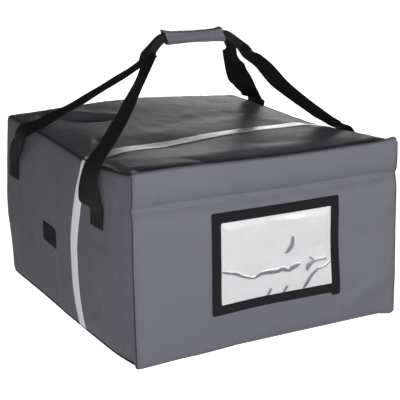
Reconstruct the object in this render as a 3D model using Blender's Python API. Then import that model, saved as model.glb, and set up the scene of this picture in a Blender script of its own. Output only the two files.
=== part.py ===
"""Soft delivery bag for large flat boxes: padded cloth panels sewn into a box, a front flap with a
clear pocket, a reflective stripe, and two webbing straps that meet in one handle wrap.

Metres, +Z up. +X is to the right along the front, the front faces -Y, and the origin is on the
ground under the middle of the bag. Every panel is laid out on a true box, and slump() then moves
it to where the soft bag sags and swells, so that what is sewn on a panel follows it.
"""

import math
from collections import namedtuple

import bmesh
import bpy
from mathutils import Matrix, Vector
from mathutils.bvhtree import BVHTree

# Driving dimensions of the padded box
BAG_WIDTH = 0.508
BAG_DEPTH = 0.555
BAG_HEIGHT = 0.315
WALL = 0.006
EDGE_ROUND = 0.010
CLEAR = 0.0003
GRID = 0.036

# Front flap, which hangs from the lid's front edge and kicks out at its foot
FLAP_THICKNESS = 0.006
FLAP_ROUND = 0.0024
FLAP_GAP = 0.0005
FLAP_KICK = 0.010
CREASE_DROP = 0.052
CREASE_WIDTH = 0.012
CREASE_DEPTH = 0.0030

# Clear pocket on the flap: white insert, film and bound edge
WINDOW_WIDTH = 0.247
WINDOW_HEIGHT = 0.174
WINDOW_FOOT = 0.062
WINDOW_SHIFT = 0.006
BINDING_WIDTH = 0.017
BINDING_THICKNESS = 0.0018
INSERT_THICKNESS = 0.0005
FILM_THICKNESS = 0.0005

# Reflective stripe round the sides and the lid
STRIPE_WIDTH = 0.028
STRIPE_THICKNESS = 0.0007
STRIPE_FROM_FRONT = 0.180

# Blank badge on the left side
BADGE_LENGTH = 0.076
BADGE_HEIGHT = 0.037
BADGE_THICKNESS = 0.0012
BADGE_FROM_BACK = 0.240
BADGE_MIDDLE = 0.139

# Webbing and handle wrap
WEBBING_WIDTH = 0.048
WEBBING_THICKNESS = 0.0020
FOLD_EASE = 0.0008
STRAP_BULGE = 0.014
HANDLE_RISE = 0.165
GRIP_LENGTH = 0.118
GRIP_WALL = 0.0022
GRIP_FLARE = 0.0030
GRIP_SHIFT = 0.006
GRIP_SQUARENESS = 7
STRAP_STEPS = 4

# Bumps (rise above 0) and dents (below 0). Across and along are the middle of each form and wide
# and long its spread, as shares of half the width and half the depth; rise is a share of the height.
Form = namedtuple("Form", "across along wide long rise")
LID_FORMS = (
    Form(across=0.00, along=0.90, wide=0.75, long=0.55, rise=0.040),
    Form(across=-1.00, along=-0.30, wide=0.20, long=0.50, rise=-0.036),
    Form(across=1.00, along=-0.05, wide=0.20, long=0.60, rise=-0.030),
    Form(across=-0.50, along=-0.36, wide=0.40, long=0.24, rise=-0.036),
    Form(across=-0.62, along=0.52, wide=0.26, long=0.16, rise=-0.020),
    Form(across=0.10, along=-1.00, wide=0.62, long=0.26, rise=-0.012),
)

# The same for a side: along is the share of half the depth, up the share of the height, and out a
# share of half the width.
SideForm = namedtuple("SideForm", "along up long high out")
SIDE_FORMS = (
    SideForm(along=-0.25, up=0.42, long=0.60, high=0.40, out=0.030),
    SideForm(along=0.95, up=0.50, long=0.55, high=0.32, out=0.032),
    SideForm(along=-0.20, up=0.98, long=0.35, high=0.12, out=-0.012),
)

# The same for the back: out is a share of half the depth.
BackForm = namedtuple("BackForm", "across up wide high out")
BACK_FORMS = (
    BackForm(across=-0.30, up=0.45, wide=0.60, high=0.40, out=0.020),
    BackForm(across=0.45, up=0.40, wide=0.50, high=0.36, out=0.016),
)

# The same for the flap: out is a share of half the depth, towards the front.
FLAP_FORMS = (
    BackForm(across=0.55, up=0.16, wide=0.34, high=0.26, out=0.028),
    BackForm(across=-0.60, up=0.50, wide=0.30, high=0.35, out=0.010),
)

# Sway of the stripe and the cloth beside it, as shares of the depth, by the place across the lid
# and by the height on the sides.
Sway = namedtuple("Sway", "place shift")
LID_SWAY = (
    Sway(place=-1.0, shift=-0.030),
    Sway(place=-0.5, shift=-0.004),
    Sway(place=0.0, shift=-0.006),
    Sway(place=0.5, shift=-0.002),
    Sway(place=1.0, shift=0.004),
)
SIDE_SWAY = (
    Sway(place=0.0, shift=0.006),
    Sway(place=0.3, shift=0.022),
    Sway(place=0.5, shift=0.030),
    Sway(place=0.8, shift=0.020),
    Sway(place=1.0, shift=-0.030),
)
SWAY_REACH = 0.22

# Height of the flap's lower edge over the ground, by the share of half the width from the left
Hem = namedtuple("Hem", "across lift")
FLAP_HEM = (
    Hem(across=-1.00, lift=0.006),
    Hem(across=-0.60, lift=0.014),
    Hem(across=0.00, lift=0.030),
    Hem(across=0.75, lift=0.040),
    Hem(across=1.00, lift=0.008),
)

# Stations of the straps. Across is a share of half the width and bulge a share of STRAP_BULGE
# beyond it; along is a share of half the depth; of_bag and of_rise are shares of the bag's height
# and of the handle's rise over it. Roll turns the webbing about its run and fold closes it
# lengthwise, from 0, flat, to 1, in half.
Station = namedtuple("Station", "across bulge along of_bag of_rise roll fold")
FRONT_FOOT = (
    Station(across=1.0, bulge=0.0, along=-0.545, of_bag=0.645, of_rise=0.0, roll=0, fold=0.0),
    Station(across=1.0, bulge=0.0, along=-0.545, of_bag=0.715, of_rise=0.0, roll=0, fold=0.0),
    Station(across=1.0, bulge=1.0, along=-0.545, of_bag=0.825, of_rise=0.0, roll=16, fold=0.0),
    Station(across=1.0, bulge=0.55, along=-0.535, of_bag=0.960, of_rise=0.0, roll=0, fold=0.0),
)
BACK_FOOT = (
    Station(across=1.0, bulge=0.0, along=0.825, of_bag=0.645, of_rise=0.0, roll=0, fold=0.0),
    Station(across=1.0, bulge=0.0, along=0.825, of_bag=0.750, of_rise=0.0, roll=0, fold=0.0),
    Station(across=1.0, bulge=0.9, along=0.810, of_bag=0.860, of_rise=0.0, roll=-4, fold=0.0),
    Station(across=1.0, bulge=0.6, along=0.740, of_bag=0.985, of_rise=0.0, roll=0, fold=0.0),
)
FRONT_LEFT_RISE = (
    Station(across=0.906, bulge=0.0, along=-0.505, of_bag=1.0, of_rise=0.158, roll=-10, fold=0.0),
    Station(across=0.634, bulge=0.0, along=-0.306, of_bag=1.0, of_rise=0.467, roll=-18, fold=0.1),
    Station(across=0.398, bulge=0.0, along=-0.085, of_bag=1.0, of_rise=0.770, roll=-20, fold=0.7),
    Station(across=0.305, bulge=0.0, along=-0.026, of_bag=1.0, of_rise=0.905, roll=0, fold=1.0),
)
FRONT_RIGHT_RISE = (
    Station(across=0.945, bulge=0.0, along=-0.545, of_bag=1.0, of_rise=0.045, roll=2, fold=0.0),
    Station(across=0.862, bulge=0.0, along=-0.523, of_bag=1.0, of_rise=0.085, roll=2, fold=0.0),
    Station(across=0.598, bulge=0.0, along=-0.288, of_bag=1.0, of_rise=0.448, roll=-2, fold=0.2),
    Station(across=0.488, bulge=0.0, along=-0.125, of_bag=1.0, of_rise=0.700, roll=-4, fold=0.6),
    Station(across=0.350, bulge=0.0, along=-0.026, of_bag=1.0, of_rise=0.925, roll=0, fold=1.0),
)
BACK_LEFT_RISE = (
    Station(across=0.900, bulge=0.0, along=0.680, of_bag=1.0, of_rise=0.080, roll=-4, fold=0.0),
    Station(across=0.681, bulge=0.0, along=0.468, of_bag=1.0, of_rise=0.270, roll=-12, fold=0.1),
    Station(across=0.571, bulge=0.0, along=0.288, of_bag=1.0, of_rise=0.430, roll=-16, fold=0.3),
    Station(across=0.380, bulge=0.0, along=0.065, of_bag=1.0, of_rise=0.725, roll=-16, fold=0.8),
    Station(across=0.298, bulge=0.0, along=0.026, of_bag=1.0, of_rise=0.895, roll=0, fold=1.0),
)
BACK_RIGHT_RISE = (
    Station(across=0.930, bulge=0.0, along=0.660, of_bag=1.0, of_rise=0.090, roll=-2, fold=0.0),
    Station(across=0.709, bulge=0.0, along=0.420, of_bag=1.0, of_rise=0.280, roll=-10, fold=0.1),
    Station(across=0.508, bulge=0.0, along=0.216, of_bag=1.0, of_rise=0.460, roll=-10, fold=0.4),
    Station(across=0.388, bulge=0.0, along=0.080, of_bag=1.0, of_rise=0.680, roll=-4, fold=0.8),
    Station(across=0.350, bulge=0.0, along=0.030, of_bag=1.0, of_rise=0.860, roll=0, fold=1.0),
)

# A place on a strap's run, with the heading that it is held to, if any
Row = namedtuple("Row", "place roll fold heading")

# Colours from the photograph: base colour, roughness
Finish = namedtuple("Finish", "colour roughness")
GREY_CLOTH = Finish((0.16, 0.16, 0.19), 0.55)
BLACK_WEBBING = Finish((0.012, 0.012, 0.014), 0.70)
REFLECTIVE = Finish((0.42, 0.43, 0.45), 0.35)
CLEAR_FILM = Finish((0.72, 0.72, 0.75), 0.12)
WHITE_INSERT = Finish((0.80, 0.80, 0.80), 0.60)
BLACK_BADGE = Finish((0.02, 0.02, 0.02), 0.45)

LEFT = -1
RIGHT = 1
HALF_WIDTH = BAG_WIDTH / 2
HALF_DEPTH = BAG_DEPTH / 2
MOUTH = -HALF_DEPTH + FLAP_THICKNESS + FLAP_GAP
STRIPE_FRONT = STRIPE_FROM_FRONT - HALF_DEPTH
STRIPE_BACK = STRIPE_FRONT + STRIPE_WIDTH
STRIPE_MIDDLE = (STRIPE_FRONT + STRIPE_BACK) / 2
BADGE_Y = HALF_DEPTH - BADGE_FROM_BACK
FOLD_RADIUS = WEBBING_THICKNESS / 2 + FOLD_EASE
FOLDED_THICKNESS = 2 * FOLD_RADIUS + WEBBING_THICKNESS
FOLDED_HEIGHT = WEBBING_WIDTH / 2 - math.pi * FOLD_RADIUS / 2 + FOLD_RADIUS + WEBBING_THICKNESS / 2
GRIP_HEIGHT = BAG_HEIGHT + HANDLE_RISE
STRAP_APART = (FOLDED_THICKNESS + CLEAR) / 2


def clear_scene():
    for item in list(bpy.data.objects):
        bpy.data.objects.remove(item)


def material(name, finish):
    made = bpy.data.materials.new(name)
    made.use_nodes = True
    shader = made.node_tree.nodes["Principled BSDF"]
    shader.inputs["Base Color"].default_value = (*finish.colour, 1.0)
    shader.inputs["Roughness"].default_value = finish.roughness
    shader.inputs["Metallic"].default_value = 0.0
    return made


# Shape of the soft bag


def bell(offset, spread):
    return math.exp(-((offset / spread) ** 2))


def between(rows, place, value):
    """Smooth value between a table's rows."""
    spots = [row[0] for row in rows]
    place = min(max(place, spots[0]), spots[-1])
    for low, high in zip(rows, rows[1:]):
        if place <= high[0]:
            share = (place - low[0]) / (high[0] - low[0])
            share = share * share * (3 - 2 * share)
            return getattr(low, value) + share * (getattr(high, value) - getattr(low, value))
    return getattr(rows[-1], value)


def slump(point):
    """Where a point of the true box lies on the soft bag."""
    across = point.x / HALF_WIDTH
    along = point.y / HALF_DEPTH
    up = point.z / BAG_HEIGHT
    lid = sum(
        form.rise * bell(across - form.across, form.wide) * bell(along - form.along, form.long)
        for form in LID_FORMS
    )
    side = sum(
        form.out * bell(along - form.along, form.long) * bell(up - form.up, form.high)
        for form in SIDE_FORMS
    )
    back = sum(
        form.out * bell(across - form.across, form.wide) * bell(up - form.up, form.high)
        for form in BACK_FORMS
    )
    on_lid = max(up, 0.0) ** 3
    sway = on_lid * between(LID_SWAY, across, "shift") + (1 - on_lid) * between(SIDE_SWAY, up, "shift")
    reach = bell(point.y - STRIPE_MIDDLE, SWAY_REACH * BAG_DEPTH)
    return Vector(
        (
            point.x + across * abs(across) ** 2 * side * HALF_WIDTH,
            point.y + max(along, 0.0) ** 3 * back * HALF_DEPTH + sway * reach * BAG_DEPTH,
            point.z + on_lid * lid * BAG_HEIGHT,
        )
    )


def hang(point):
    """Where a point of the flap's flat slab lies, once it hangs from the lid and kicks out."""
    up = point.z / BAG_HEIGHT
    swing = 1.0 - min(max(up, 0.0), 1.0)
    lift = between(FLAP_HEM, point.x / HALF_WIDTH, "lift") * BAG_HEIGHT * swing**2
    crease = CREASE_DEPTH * bell(point.z - (BAG_HEIGHT - CREASE_DROP), CREASE_WIDTH)
    front = (-HALF_DEPTH + FLAP_THICKNESS - point.y) / FLAP_THICKNESS
    bulge = sum(
        form.out * bell(point.x / HALF_WIDTH - form.across, form.wide) * bell(up - form.up, form.high)
        for form in FLAP_FORMS
    )
    out = FLAP_KICK * swing + bulge * HALF_DEPTH
    placed = Vector((point.x, point.y - out + crease * front, point.z + lift))
    return slump(placed)


# Skins: a box's surface cut into a grid, and the solids made over some of its faces


def stops_between(stops, step):
    """The stops themselves with even steps between them."""
    places = [stops[0]]
    for low, high in zip(stops, stops[1:]):
        count = max(1, math.ceil((high - low) / step - 0.2))
        places += [low + (high - low) * index / count for index in range(1, count + 1)]
    return places


def cut_grid(mesh, axis, places):
    for place in places:
        origin = Vector((0, 0, 0))
        origin[axis] = place
        normal = Vector((0, 0, 0))
        normal[axis] = 1.0
        geometry = mesh.verts[:] + mesh.edges[:] + mesh.faces[:]
        bmesh.ops.bisect_plane(mesh, geom=geometry, dist=1e-6, plane_co=origin, plane_no=normal)


def rounded_box(size, middle, rounding):
    mesh = bmesh.new()
    bmesh.ops.create_cube(mesh, size=1.0, matrix=Matrix.Translation(middle) @ Matrix.Diagonal((*size, 1)))
    bmesh.ops.bevel(
        mesh,
        geom=mesh.edges[:],
        offset=rounding,
        segments=2,
        profile=0.5,
        affect="EDGES",
        material=-1,
    )
    return mesh


def settle(mesh, place):
    """Moves a skin to its soft shape and splits it into triangles."""
    for vert in mesh.verts:
        vert.co = place(vert.co)
    bmesh.ops.triangulate(mesh, faces=mesh.faces[:])
    mesh.normal_update()


def inward_steps(faces):
    """For each border vertex of a patch, the move that takes its border in by one metre."""
    chosen = set(faces)
    steps = {}
    for face in faces:
        for loop in face.loops:
            if any(other in chosen for other in loop.edge.link_faces if other is not face):
                continue
            run = loop.link_loop_next.vert.co - loop.vert.co
            inward = face.normal.cross(run).normalized()
            steps.setdefault(loop.vert, []).append(inward)
            steps.setdefault(loop.link_loop_next.vert, []).append(inward)
    moves = {}
    for vert, inwards in steps.items():
        total = sum(inwards, Vector((0, 0, 0)))
        moves[vert] = total * (len(inwards) / max(total.length_squared, 1e-9))
    return moves


def layer(name, faces, low, high, inset, dress):
    """A closed solid over some of a skin's faces, between two heights above the skin."""
    moves = inward_steps(faces)
    mesh = bmesh.new()
    lower = {}
    upper = {}
    for vert in {vert for face in faces for vert in face.verts}:
        place = vert.co + moves.get(vert, Vector((0, 0, 0))) * inset
        out = vert.normal * vert.calc_shell_factor()
        lower[vert] = mesh.verts.new(place + out * low)
        upper[vert] = mesh.verts.new(place + out * high)
    chosen = set(faces)
    for face in faces:
        mesh.faces.new([upper[vert] for vert in face.verts])
        mesh.faces.new([lower[vert] for vert in reversed(face.verts)])
        for loop in face.loops:
            if any(other in chosen for other in loop.edge.link_faces if other is not face):
                continue
            first = loop.vert
            second = loop.link_loop_next.vert
            mesh.faces.new([lower[first], lower[second], upper[second], upper[first]])
    return finished(name, mesh, dress)


def finished(name, mesh, dress):
    mesh.normal_update()
    data = bpy.data.meshes.new(name)
    mesh.to_mesh(data)
    mesh.free()
    data.shade_smooth()
    data.set_sharp_from_angle(angle=math.radians(35))
    data.materials.append(dress)
    piece = bpy.data.objects.new(name, data)
    bpy.context.scene.collection.objects.link(piece)
    return piece


# The padded box


def panel_of(middle):
    """The panel that a point of the rounded box belongs to: the one it stands out to most."""
    reaches = {
        "left_panel": -middle.x - (HALF_WIDTH - EDGE_ROUND),
        "right_panel": middle.x - (HALF_WIDTH - EDGE_ROUND),
        "back_panel": middle.y - (HALF_DEPTH - EDGE_ROUND),
        "lid_panel": middle.z - (BAG_HEIGHT - EDGE_ROUND),
        "bottom_panel": EDGE_ROUND - middle.z,
    }
    return max(reaches, key=reaches.get)


def body_skin():
    """The box's skin, open at the mouth, and lists of its faces by panel, stripe and badge."""
    mesh = rounded_box((BAG_WIDTH, BAG_DEPTH, BAG_HEIGHT), (0, 0, BAG_HEIGHT / 2), EDGE_ROUND)
    across = HALF_WIDTH - EDGE_ROUND
    badge_y = (BADGE_Y - BADGE_LENGTH / 2, BADGE_Y + BADGE_LENGTH / 2)
    badge_z = (BADGE_MIDDLE - BADGE_HEIGHT / 2, BADGE_MIDDLE + BADGE_HEIGHT / 2)
    along = (MOUTH, STRIPE_FRONT, STRIPE_BACK, *badge_y, HALF_DEPTH - EDGE_ROUND)
    up = (EDGE_ROUND, *badge_z, BAG_HEIGHT - EDGE_ROUND)
    cut_grid(mesh, 0, stops_between((-across, across), GRID)[1:-1])
    cut_grid(mesh, 1, stops_between(along, GRID)[:-1])
    cut_grid(mesh, 2, stops_between(up, GRID)[1:-1])
    ahead = [face for face in mesh.faces if face.calc_center_median().y < MOUTH]
    bmesh.ops.delete(mesh, geom=ahead, context="FACES")
    ground = [edge for edge in mesh.edges if all(abs(face.normal.z + 1) < 1e-4 for face in edge.link_faces)]
    inner = [edge for edge in ground if len(edge.link_faces) == 2]
    bmesh.ops.dissolve_edges(mesh, edges=inner, use_verts=False)

    mark = mesh.faces.layers.string.new("panel")
    trim = mesh.faces.layers.string.new("trim")
    for face in mesh.faces:
        middle = face.calc_center_median()
        panel = panel_of(middle)
        face[mark] = panel.encode()
        if panel in ("left_panel", "right_panel", "lid_panel") and STRIPE_FRONT < middle.y < STRIPE_BACK:
            face[trim] = b"stripe"
        beside = badge_y[0] < middle.y < badge_y[1] and badge_z[0] < middle.z < badge_z[1]
        if panel == "left_panel" and beside:
            face[trim] = b"badge"
    settle(mesh, slump)
    return mesh, mark, trim


def build_body(cloth, tape, badge):
    skin, mark, trim = body_skin()
    pieces = {}
    for panel in ("bottom_panel", "left_panel", "right_panel", "back_panel", "lid_panel"):
        faces = [face for face in skin.faces if face[mark] == panel.encode()]
        pieces[panel] = layer(panel, faces, -WALL, 0.0, CLEAR * 0.6, cloth)
    stripe = [face for face in skin.faces if face[trim] == b"stripe"]
    layer("reflective_stripe", stripe, CLEAR, CLEAR + STRIPE_THICKNESS, 0.0, tape)
    patch = [face for face in skin.faces if face[trim] == b"badge"]
    layer("side_badge", patch, CLEAR, CLEAR + BADGE_THICKNESS, 0.0, badge)
    skin.free()
    return pieces


# The front flap and its clear pocket


def build_flap(cloth, binding, insert, film):
    mesh = rounded_box(
        (BAG_WIDTH, FLAP_THICKNESS, BAG_HEIGHT),
        (0, -HALF_DEPTH + FLAP_THICKNESS / 2, BAG_HEIGHT / 2),
        FLAP_ROUND,
    )
    window_x = (WINDOW_SHIFT - WINDOW_WIDTH / 2, WINDOW_SHIFT + WINDOW_WIDTH / 2)
    window_z = (WINDOW_FOOT, WINDOW_FOOT + WINDOW_HEIGHT)
    clear_x = (window_x[0] + BINDING_WIDTH, window_x[1] - BINDING_WIDTH)
    clear_z = (window_z[0] + BINDING_WIDTH, window_z[1] - BINDING_WIDTH)
    crease = BAG_HEIGHT - CREASE_DROP
    side = HALF_WIDTH - FLAP_ROUND
    across = (-side, window_x[0], clear_x[0], clear_x[1], window_x[1], side)
    up = (
        FLAP_ROUND,
        window_z[0],
        clear_z[0],
        clear_z[1],
        window_z[1],
        crease - CREASE_WIDTH,
        crease,
        crease + CREASE_WIDTH,
        BAG_HEIGHT - FLAP_ROUND,
    )
    cut_grid(mesh, 0, stops_between(across, GRID)[1:-1])
    cut_grid(mesh, 2, stops_between(up, GRID)[1:-1])
    use = mesh.faces.layers.string.new("use")
    for face in mesh.faces:
        middle = face.calc_center_median()
        if face.normal.y > -0.99:
            continue
        if clear_x[0] < middle.x < clear_x[1] and clear_z[0] < middle.z < clear_z[1]:
            face[use] = b"clear"
        elif window_x[0] < middle.x < window_x[1] and window_z[0] < middle.z < window_z[1]:
            face[use] = b"bound"
    settle(mesh, hang)
    bound = [face for face in mesh.faces if face[use] == b"bound"]
    seen = [face for face in mesh.faces if face[use] == b"clear"]
    layer("window_binding", bound, CLEAR, CLEAR + BINDING_THICKNESS, 0.0, binding)
    layer("window_insert", seen, CLEAR, CLEAR + INSERT_THICKNESS, CLEAR, insert)
    film_low = 2 * CLEAR + INSERT_THICKNESS
    layer("window_film", seen, film_low, film_low + FILM_THICKNESS, CLEAR, film)
    return finished("front_flap", mesh, cloth)


# The straps


def seat(panel_tree, side, station):
    """How far out a strap's flat end lies, to rest on the highest point of the panel under it."""
    reach = 0.0
    for share in (-0.5, -0.25, 0.0, 0.25, 0.5):
        start = Vector(
            (
                side * BAG_WIDTH,
                station.along * HALF_DEPTH + share * WEBBING_WIDTH,
                station.of_bag * BAG_HEIGHT,
            )
        )
        hit = panel_tree.ray_cast(start, Vector((-side, 0, 0)))[0]
        reach = max(reach, side * hit.x)
    return reach + 2 * CLEAR + WEBBING_THICKNESS / 2


def foot_points(stations, side, panel_tree):
    """Rows of the stretch that is sewn flat to a side, then bulges over its edge."""
    rows = []
    flat = Vector((0, 0, -side))
    edge = seat(panel_tree, side, stations[1])
    for index, station in enumerate(stations):
        out = seat(panel_tree, side, station) if index < 2 else edge + station.bulge * STRAP_BULGE
        place = Vector((side * out, station.along * HALF_DEPTH, station.of_bag * BAG_HEIGHT))
        rows.append(Row(place, -side * station.roll, station.fold, flat if index < 2 else None))
    return rows


def rise_points(stations, side):
    rows = []
    for station in stations:
        place = Vector(
            (
                side * station.across * HALF_WIDTH,
                station.along * HALF_DEPTH,
                station.of_bag * BAG_HEIGHT + station.of_rise * HANDLE_RISE,
            )
        )
        rows.append(Row(place, station.roll, station.fold, None))
    return rows


def grip_points(apart):
    """Rows of the stretch inside the wrap, level and folded in half."""
    rows = []
    for share in (-0.5, 0.5):
        place = Vector((GRIP_SHIFT + share * GRIP_LENGTH, apart, GRIP_HEIGHT))
        rows.append(Row(place, 0, 1.0, Vector((1, 0, 0))))
    return rows


def smooth_run(rows, steps):
    """Rows eased along a smooth curve that keeps to each heading where the webbing is held."""
    headings = []
    for index, row in enumerate(rows):
        before = rows[max(index - 1, 0)].place
        after = rows[min(index + 1, len(rows) - 1)].place
        headings.append(row.heading or (after - before).normalized())
    run = []
    for index, (start, end) in enumerate(zip(rows, rows[1:])):
        span = (end.place - start.place).length
        for step in range(steps):
            t = step / steps
            place = (2 * t**3 - 3 * t**2 + 1) * start.place + (3 * t**2 - 2 * t**3) * end.place
            place += (t**3 - 2 * t**2 + t) * span * headings[index]
            place += (t**3 - t**2) * span * headings[index + 1]
            roll = start.roll + (end.roll - start.roll) * t
            run.append(Row(place, roll, start.fold + (end.fold - start.fold) * t, None))
    run.append(rows[-1])
    return run


def webbing_section(fold):
    """Outline of the webbing across its run: (along the width, along its face's normal)."""
    arc = math.pi * FOLD_RADIUS
    angle = max(fold, 0.02) * math.pi
    radius = arc / angle
    straight = (WEBBING_WIDTH - arc) / 2
    centre = []
    for share in (-0.5, -1 / 6, 1 / 6, 0.5):
        turn = share * angle
        centre.append((radius * math.sin(turn), radius * (math.cos(turn) - 1), turn))
    first = centre[0]
    last = centre[-1]
    dip = straight * math.sin(angle / 2)
    spread = straight * math.cos(angle / 2)
    centre.insert(0, (first[0] - spread, first[1] - dip, first[2]))
    centre.append((last[0] + spread, last[1] - dip, last[2]))
    half = WEBBING_THICKNESS / 2
    middle = centre[0][1] / 2
    upper = [(a + half * math.sin(turn), n - middle + half * math.cos(turn)) for a, n, turn in centre]
    lower = [(a - half * math.sin(turn), n - middle - half * math.cos(turn)) for a, n, turn in centre]
    return upper + lower[::-1]


def build_strap(name, rows, dress):
    run = smooth_run(rows, STRAP_STEPS)
    mesh = bmesh.new()
    sections = []
    for index, row in enumerate(run):
        ahead = run[min(index + 1, len(run) - 1)].place
        behind = run[max(index - 1, 0)].place
        along = (ahead - behind).normalized()
        level = (Vector((0, 1, 0)) - along.y * along).normalized()
        over = along.cross(level)
        turn = math.radians(row.roll)
        wide = math.cos(turn) * level + math.sin(turn) * over
        normal = along.cross(wide)
        outline = webbing_section(row.fold)
        sections.append([mesh.verts.new(row.place + wide * a + normal * n) for a, n in outline])
    count = len(sections[0])
    for first, second in zip(sections, sections[1:]):
        for index in range(count):
            after = (index + 1) % count
            mesh.faces.new((first[index], first[after], second[after], second[index]))
    mesh.faces.new(sections[0][::-1])
    mesh.faces.new(sections[-1])
    bmesh.ops.recalc_face_normals(mesh, faces=mesh.faces[:])
    bmesh.ops.triangulate(mesh, faces=mesh.faces[:])
    return finished(name, mesh, dress)


def build_wrap(dress):
    """Cloth wrap round both straps: a tube with a slack oval section and flared ends."""
    room = 2 ** (1 / GRIP_SQUARENESS)
    inner_y = (FOLDED_THICKNESS + CLEAR) * room + CLEAR
    inner_z = (FOLDED_HEIGHT + FOLD_RADIUS) / 2 * room + CLEAR
    mesh = bmesh.new()
    rings = []
    shares = (-0.5, -0.47, -0.40, -0.25, 0.0, 0.25, 0.40, 0.47, 0.5)
    corners = 24
    for share in shares:
        flare = GRIP_FLARE * (2 * abs(share)) ** 6
        for grow in (0.0, GRIP_WALL):
            ring = []
            for index in range(corners):
                angle = 2 * math.pi * (index + 0.5) / corners
                c = math.cos(angle)
                s = math.sin(angle)
                squarish = (abs(c) ** GRIP_SQUARENESS + abs(s) ** GRIP_SQUARENESS) ** (-1 / GRIP_SQUARENESS)
                y = c * squarish * (inner_y + grow)
                z = s * squarish * (inner_z + grow + flare * max(s, 0.0))
                ring.append(mesh.verts.new((GRIP_SHIFT + share * GRIP_LENGTH, y, GRIP_HEIGHT + z)))
            rings.append(ring)
    inner = rings[0::2]
    outer = rings[1::2]
    for stack in (inner, outer):
        for first, second in zip(stack, stack[1:]):
            bridge(mesh, first, second)
    bridge(mesh, inner[0], outer[0])
    bridge(mesh, inner[-1], outer[-1])
    bmesh.ops.recalc_face_normals(mesh, faces=mesh.faces[:])
    bmesh.ops.triangulate(mesh, faces=mesh.faces[:])
    return finished("handle_wrap", mesh, dress)


def bridge(mesh, first, second):
    count = len(first)
    for index in range(count):
        after = (index + 1) % count
        mesh.faces.new((first[index], first[after], second[after], second[index]))


def strap_rows(foot, left_rise, right_rise, apart, trees):
    rows = foot_points(foot, LEFT, trees[LEFT])
    rows += rise_points(left_rise, LEFT)
    rows += grip_points(apart)
    rows += rise_points(right_rise, RIGHT)[::-1]
    rows += foot_points(foot, RIGHT, trees[RIGHT])[::-1]
    return rows


def panel_tree(piece):
    data = piece.data
    return BVHTree.FromPolygons([v.co for v in data.vertices], [p.vertices for p in data.polygons])


def centre_on_ground():
    """Puts the origin under the middle of everything built, on the ground."""
    pieces = [item for item in bpy.context.scene.objects if item.type == "MESH"]
    corners = [vert.co for piece in pieces for vert in piece.data.vertices]
    low = [min(corner[axis] for corner in corners) for axis in range(3)]
    high = [max(corner[axis] for corner in corners) for axis in range(3)]
    shift = Vector((-(low[0] + high[0]) / 2, -(low[1] + high[1]) / 2, -low[2]))
    for piece in pieces:
        piece.data.transform(Matrix.Translation(shift))


def main():
    clear_scene()
    cloth = material("grey_cloth", GREY_CLOTH)
    webbing = material("black_webbing", BLACK_WEBBING)
    panels = build_body(cloth, material("reflective_tape", REFLECTIVE), material("black_badge", BLACK_BADGE))
    build_flap(cloth, webbing, material("white_insert", WHITE_INSERT), material("clear_film", CLEAR_FILM))
    trees = {LEFT: panel_tree(panels["left_panel"]), RIGHT: panel_tree(panels["right_panel"])}
    front = strap_rows(FRONT_FOOT, FRONT_LEFT_RISE, FRONT_RIGHT_RISE, -STRAP_APART, trees)
    back = strap_rows(BACK_FOOT, BACK_LEFT_RISE, BACK_RIGHT_RISE, STRAP_APART, trees)
    build_strap("front_strap", front, webbing)
    build_strap("back_strap", back, webbing)
    build_wrap(cloth)
    centre_on_ground()


main()
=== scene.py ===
"""Dressed model of a soft delivery bag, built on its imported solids.

The cloth panels, the flap with its clear pocket, the stripe, the straps and the handle wrap are
built again in finer meshes from the same sizes, given their cloth, webbing, tape and film, and
set in a plain studio. Metres, +Z up, front towards -Y.
"""

import logging
import math
from dataclasses import dataclass, field
from enum import Enum
from typing import Callable, NamedTuple, Sequence

import bmesh
import bpy
from bmesh.types import BMEdge, BMesh, BMFace, BMVert
from mathutils import Matrix, Vector, noise
from mathutils.bvhtree import BVHTree


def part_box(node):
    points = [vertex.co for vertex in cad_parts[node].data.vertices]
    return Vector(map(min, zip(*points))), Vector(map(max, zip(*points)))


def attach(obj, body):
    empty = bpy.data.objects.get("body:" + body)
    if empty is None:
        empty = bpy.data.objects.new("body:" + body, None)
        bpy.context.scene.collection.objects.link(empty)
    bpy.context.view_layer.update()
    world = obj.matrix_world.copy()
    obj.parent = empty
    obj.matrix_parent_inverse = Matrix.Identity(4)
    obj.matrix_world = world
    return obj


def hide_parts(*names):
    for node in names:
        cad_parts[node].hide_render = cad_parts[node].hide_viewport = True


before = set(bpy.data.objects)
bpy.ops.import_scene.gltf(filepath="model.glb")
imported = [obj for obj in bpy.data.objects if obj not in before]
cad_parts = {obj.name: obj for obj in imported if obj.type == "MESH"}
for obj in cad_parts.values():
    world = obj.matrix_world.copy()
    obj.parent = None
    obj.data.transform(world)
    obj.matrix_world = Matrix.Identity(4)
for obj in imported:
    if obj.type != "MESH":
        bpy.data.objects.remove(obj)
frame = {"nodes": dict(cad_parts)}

log = logging.getLogger("delivery_bag")
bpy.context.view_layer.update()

Colour = tuple[float, float, float]
Spot = tuple[float, float]
Place = Callable[[Vector], Vector]
Socket = bpy.types.NodeSocket

CLEAR = 0.0003
GRIP_LENGTH = 0.118
GRIP_SHIFT = 0.006
GRIP_RISE = 0.165
STRAP_THICKNESS = 0.0020
FOLD_RADIUS = 0.0018
STRAP_APART = (2 * FOLD_RADIUS + STRAP_THICKNESS + CLEAR) / 2
SAME_PLACE = 1e-6


class Panel(Enum):
    """The padded panels, by the CAD node that each one replaces."""

    LEFT = "left_panel"
    RIGHT = "right_panel"
    BACK = "back_panel"
    LID = "lid_panel"
    BOTTOM = "bottom_panel"
    FLAP = "front_flap"


class Side(Enum):
    """The two sides that a strap is sewn to."""

    LEFT = -1
    RIGHT = 1


class Form(NamedTuple):
    """A broad bump or dent of a panel: its middle, its spread and its height, all as shares."""

    across: float
    along: float
    wide: float
    long: float
    rise: float


class Sway(NamedTuple):
    """How far the cloth strays at one place of a table, such as the stripe across the lid."""

    place: float
    shift: float


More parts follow.
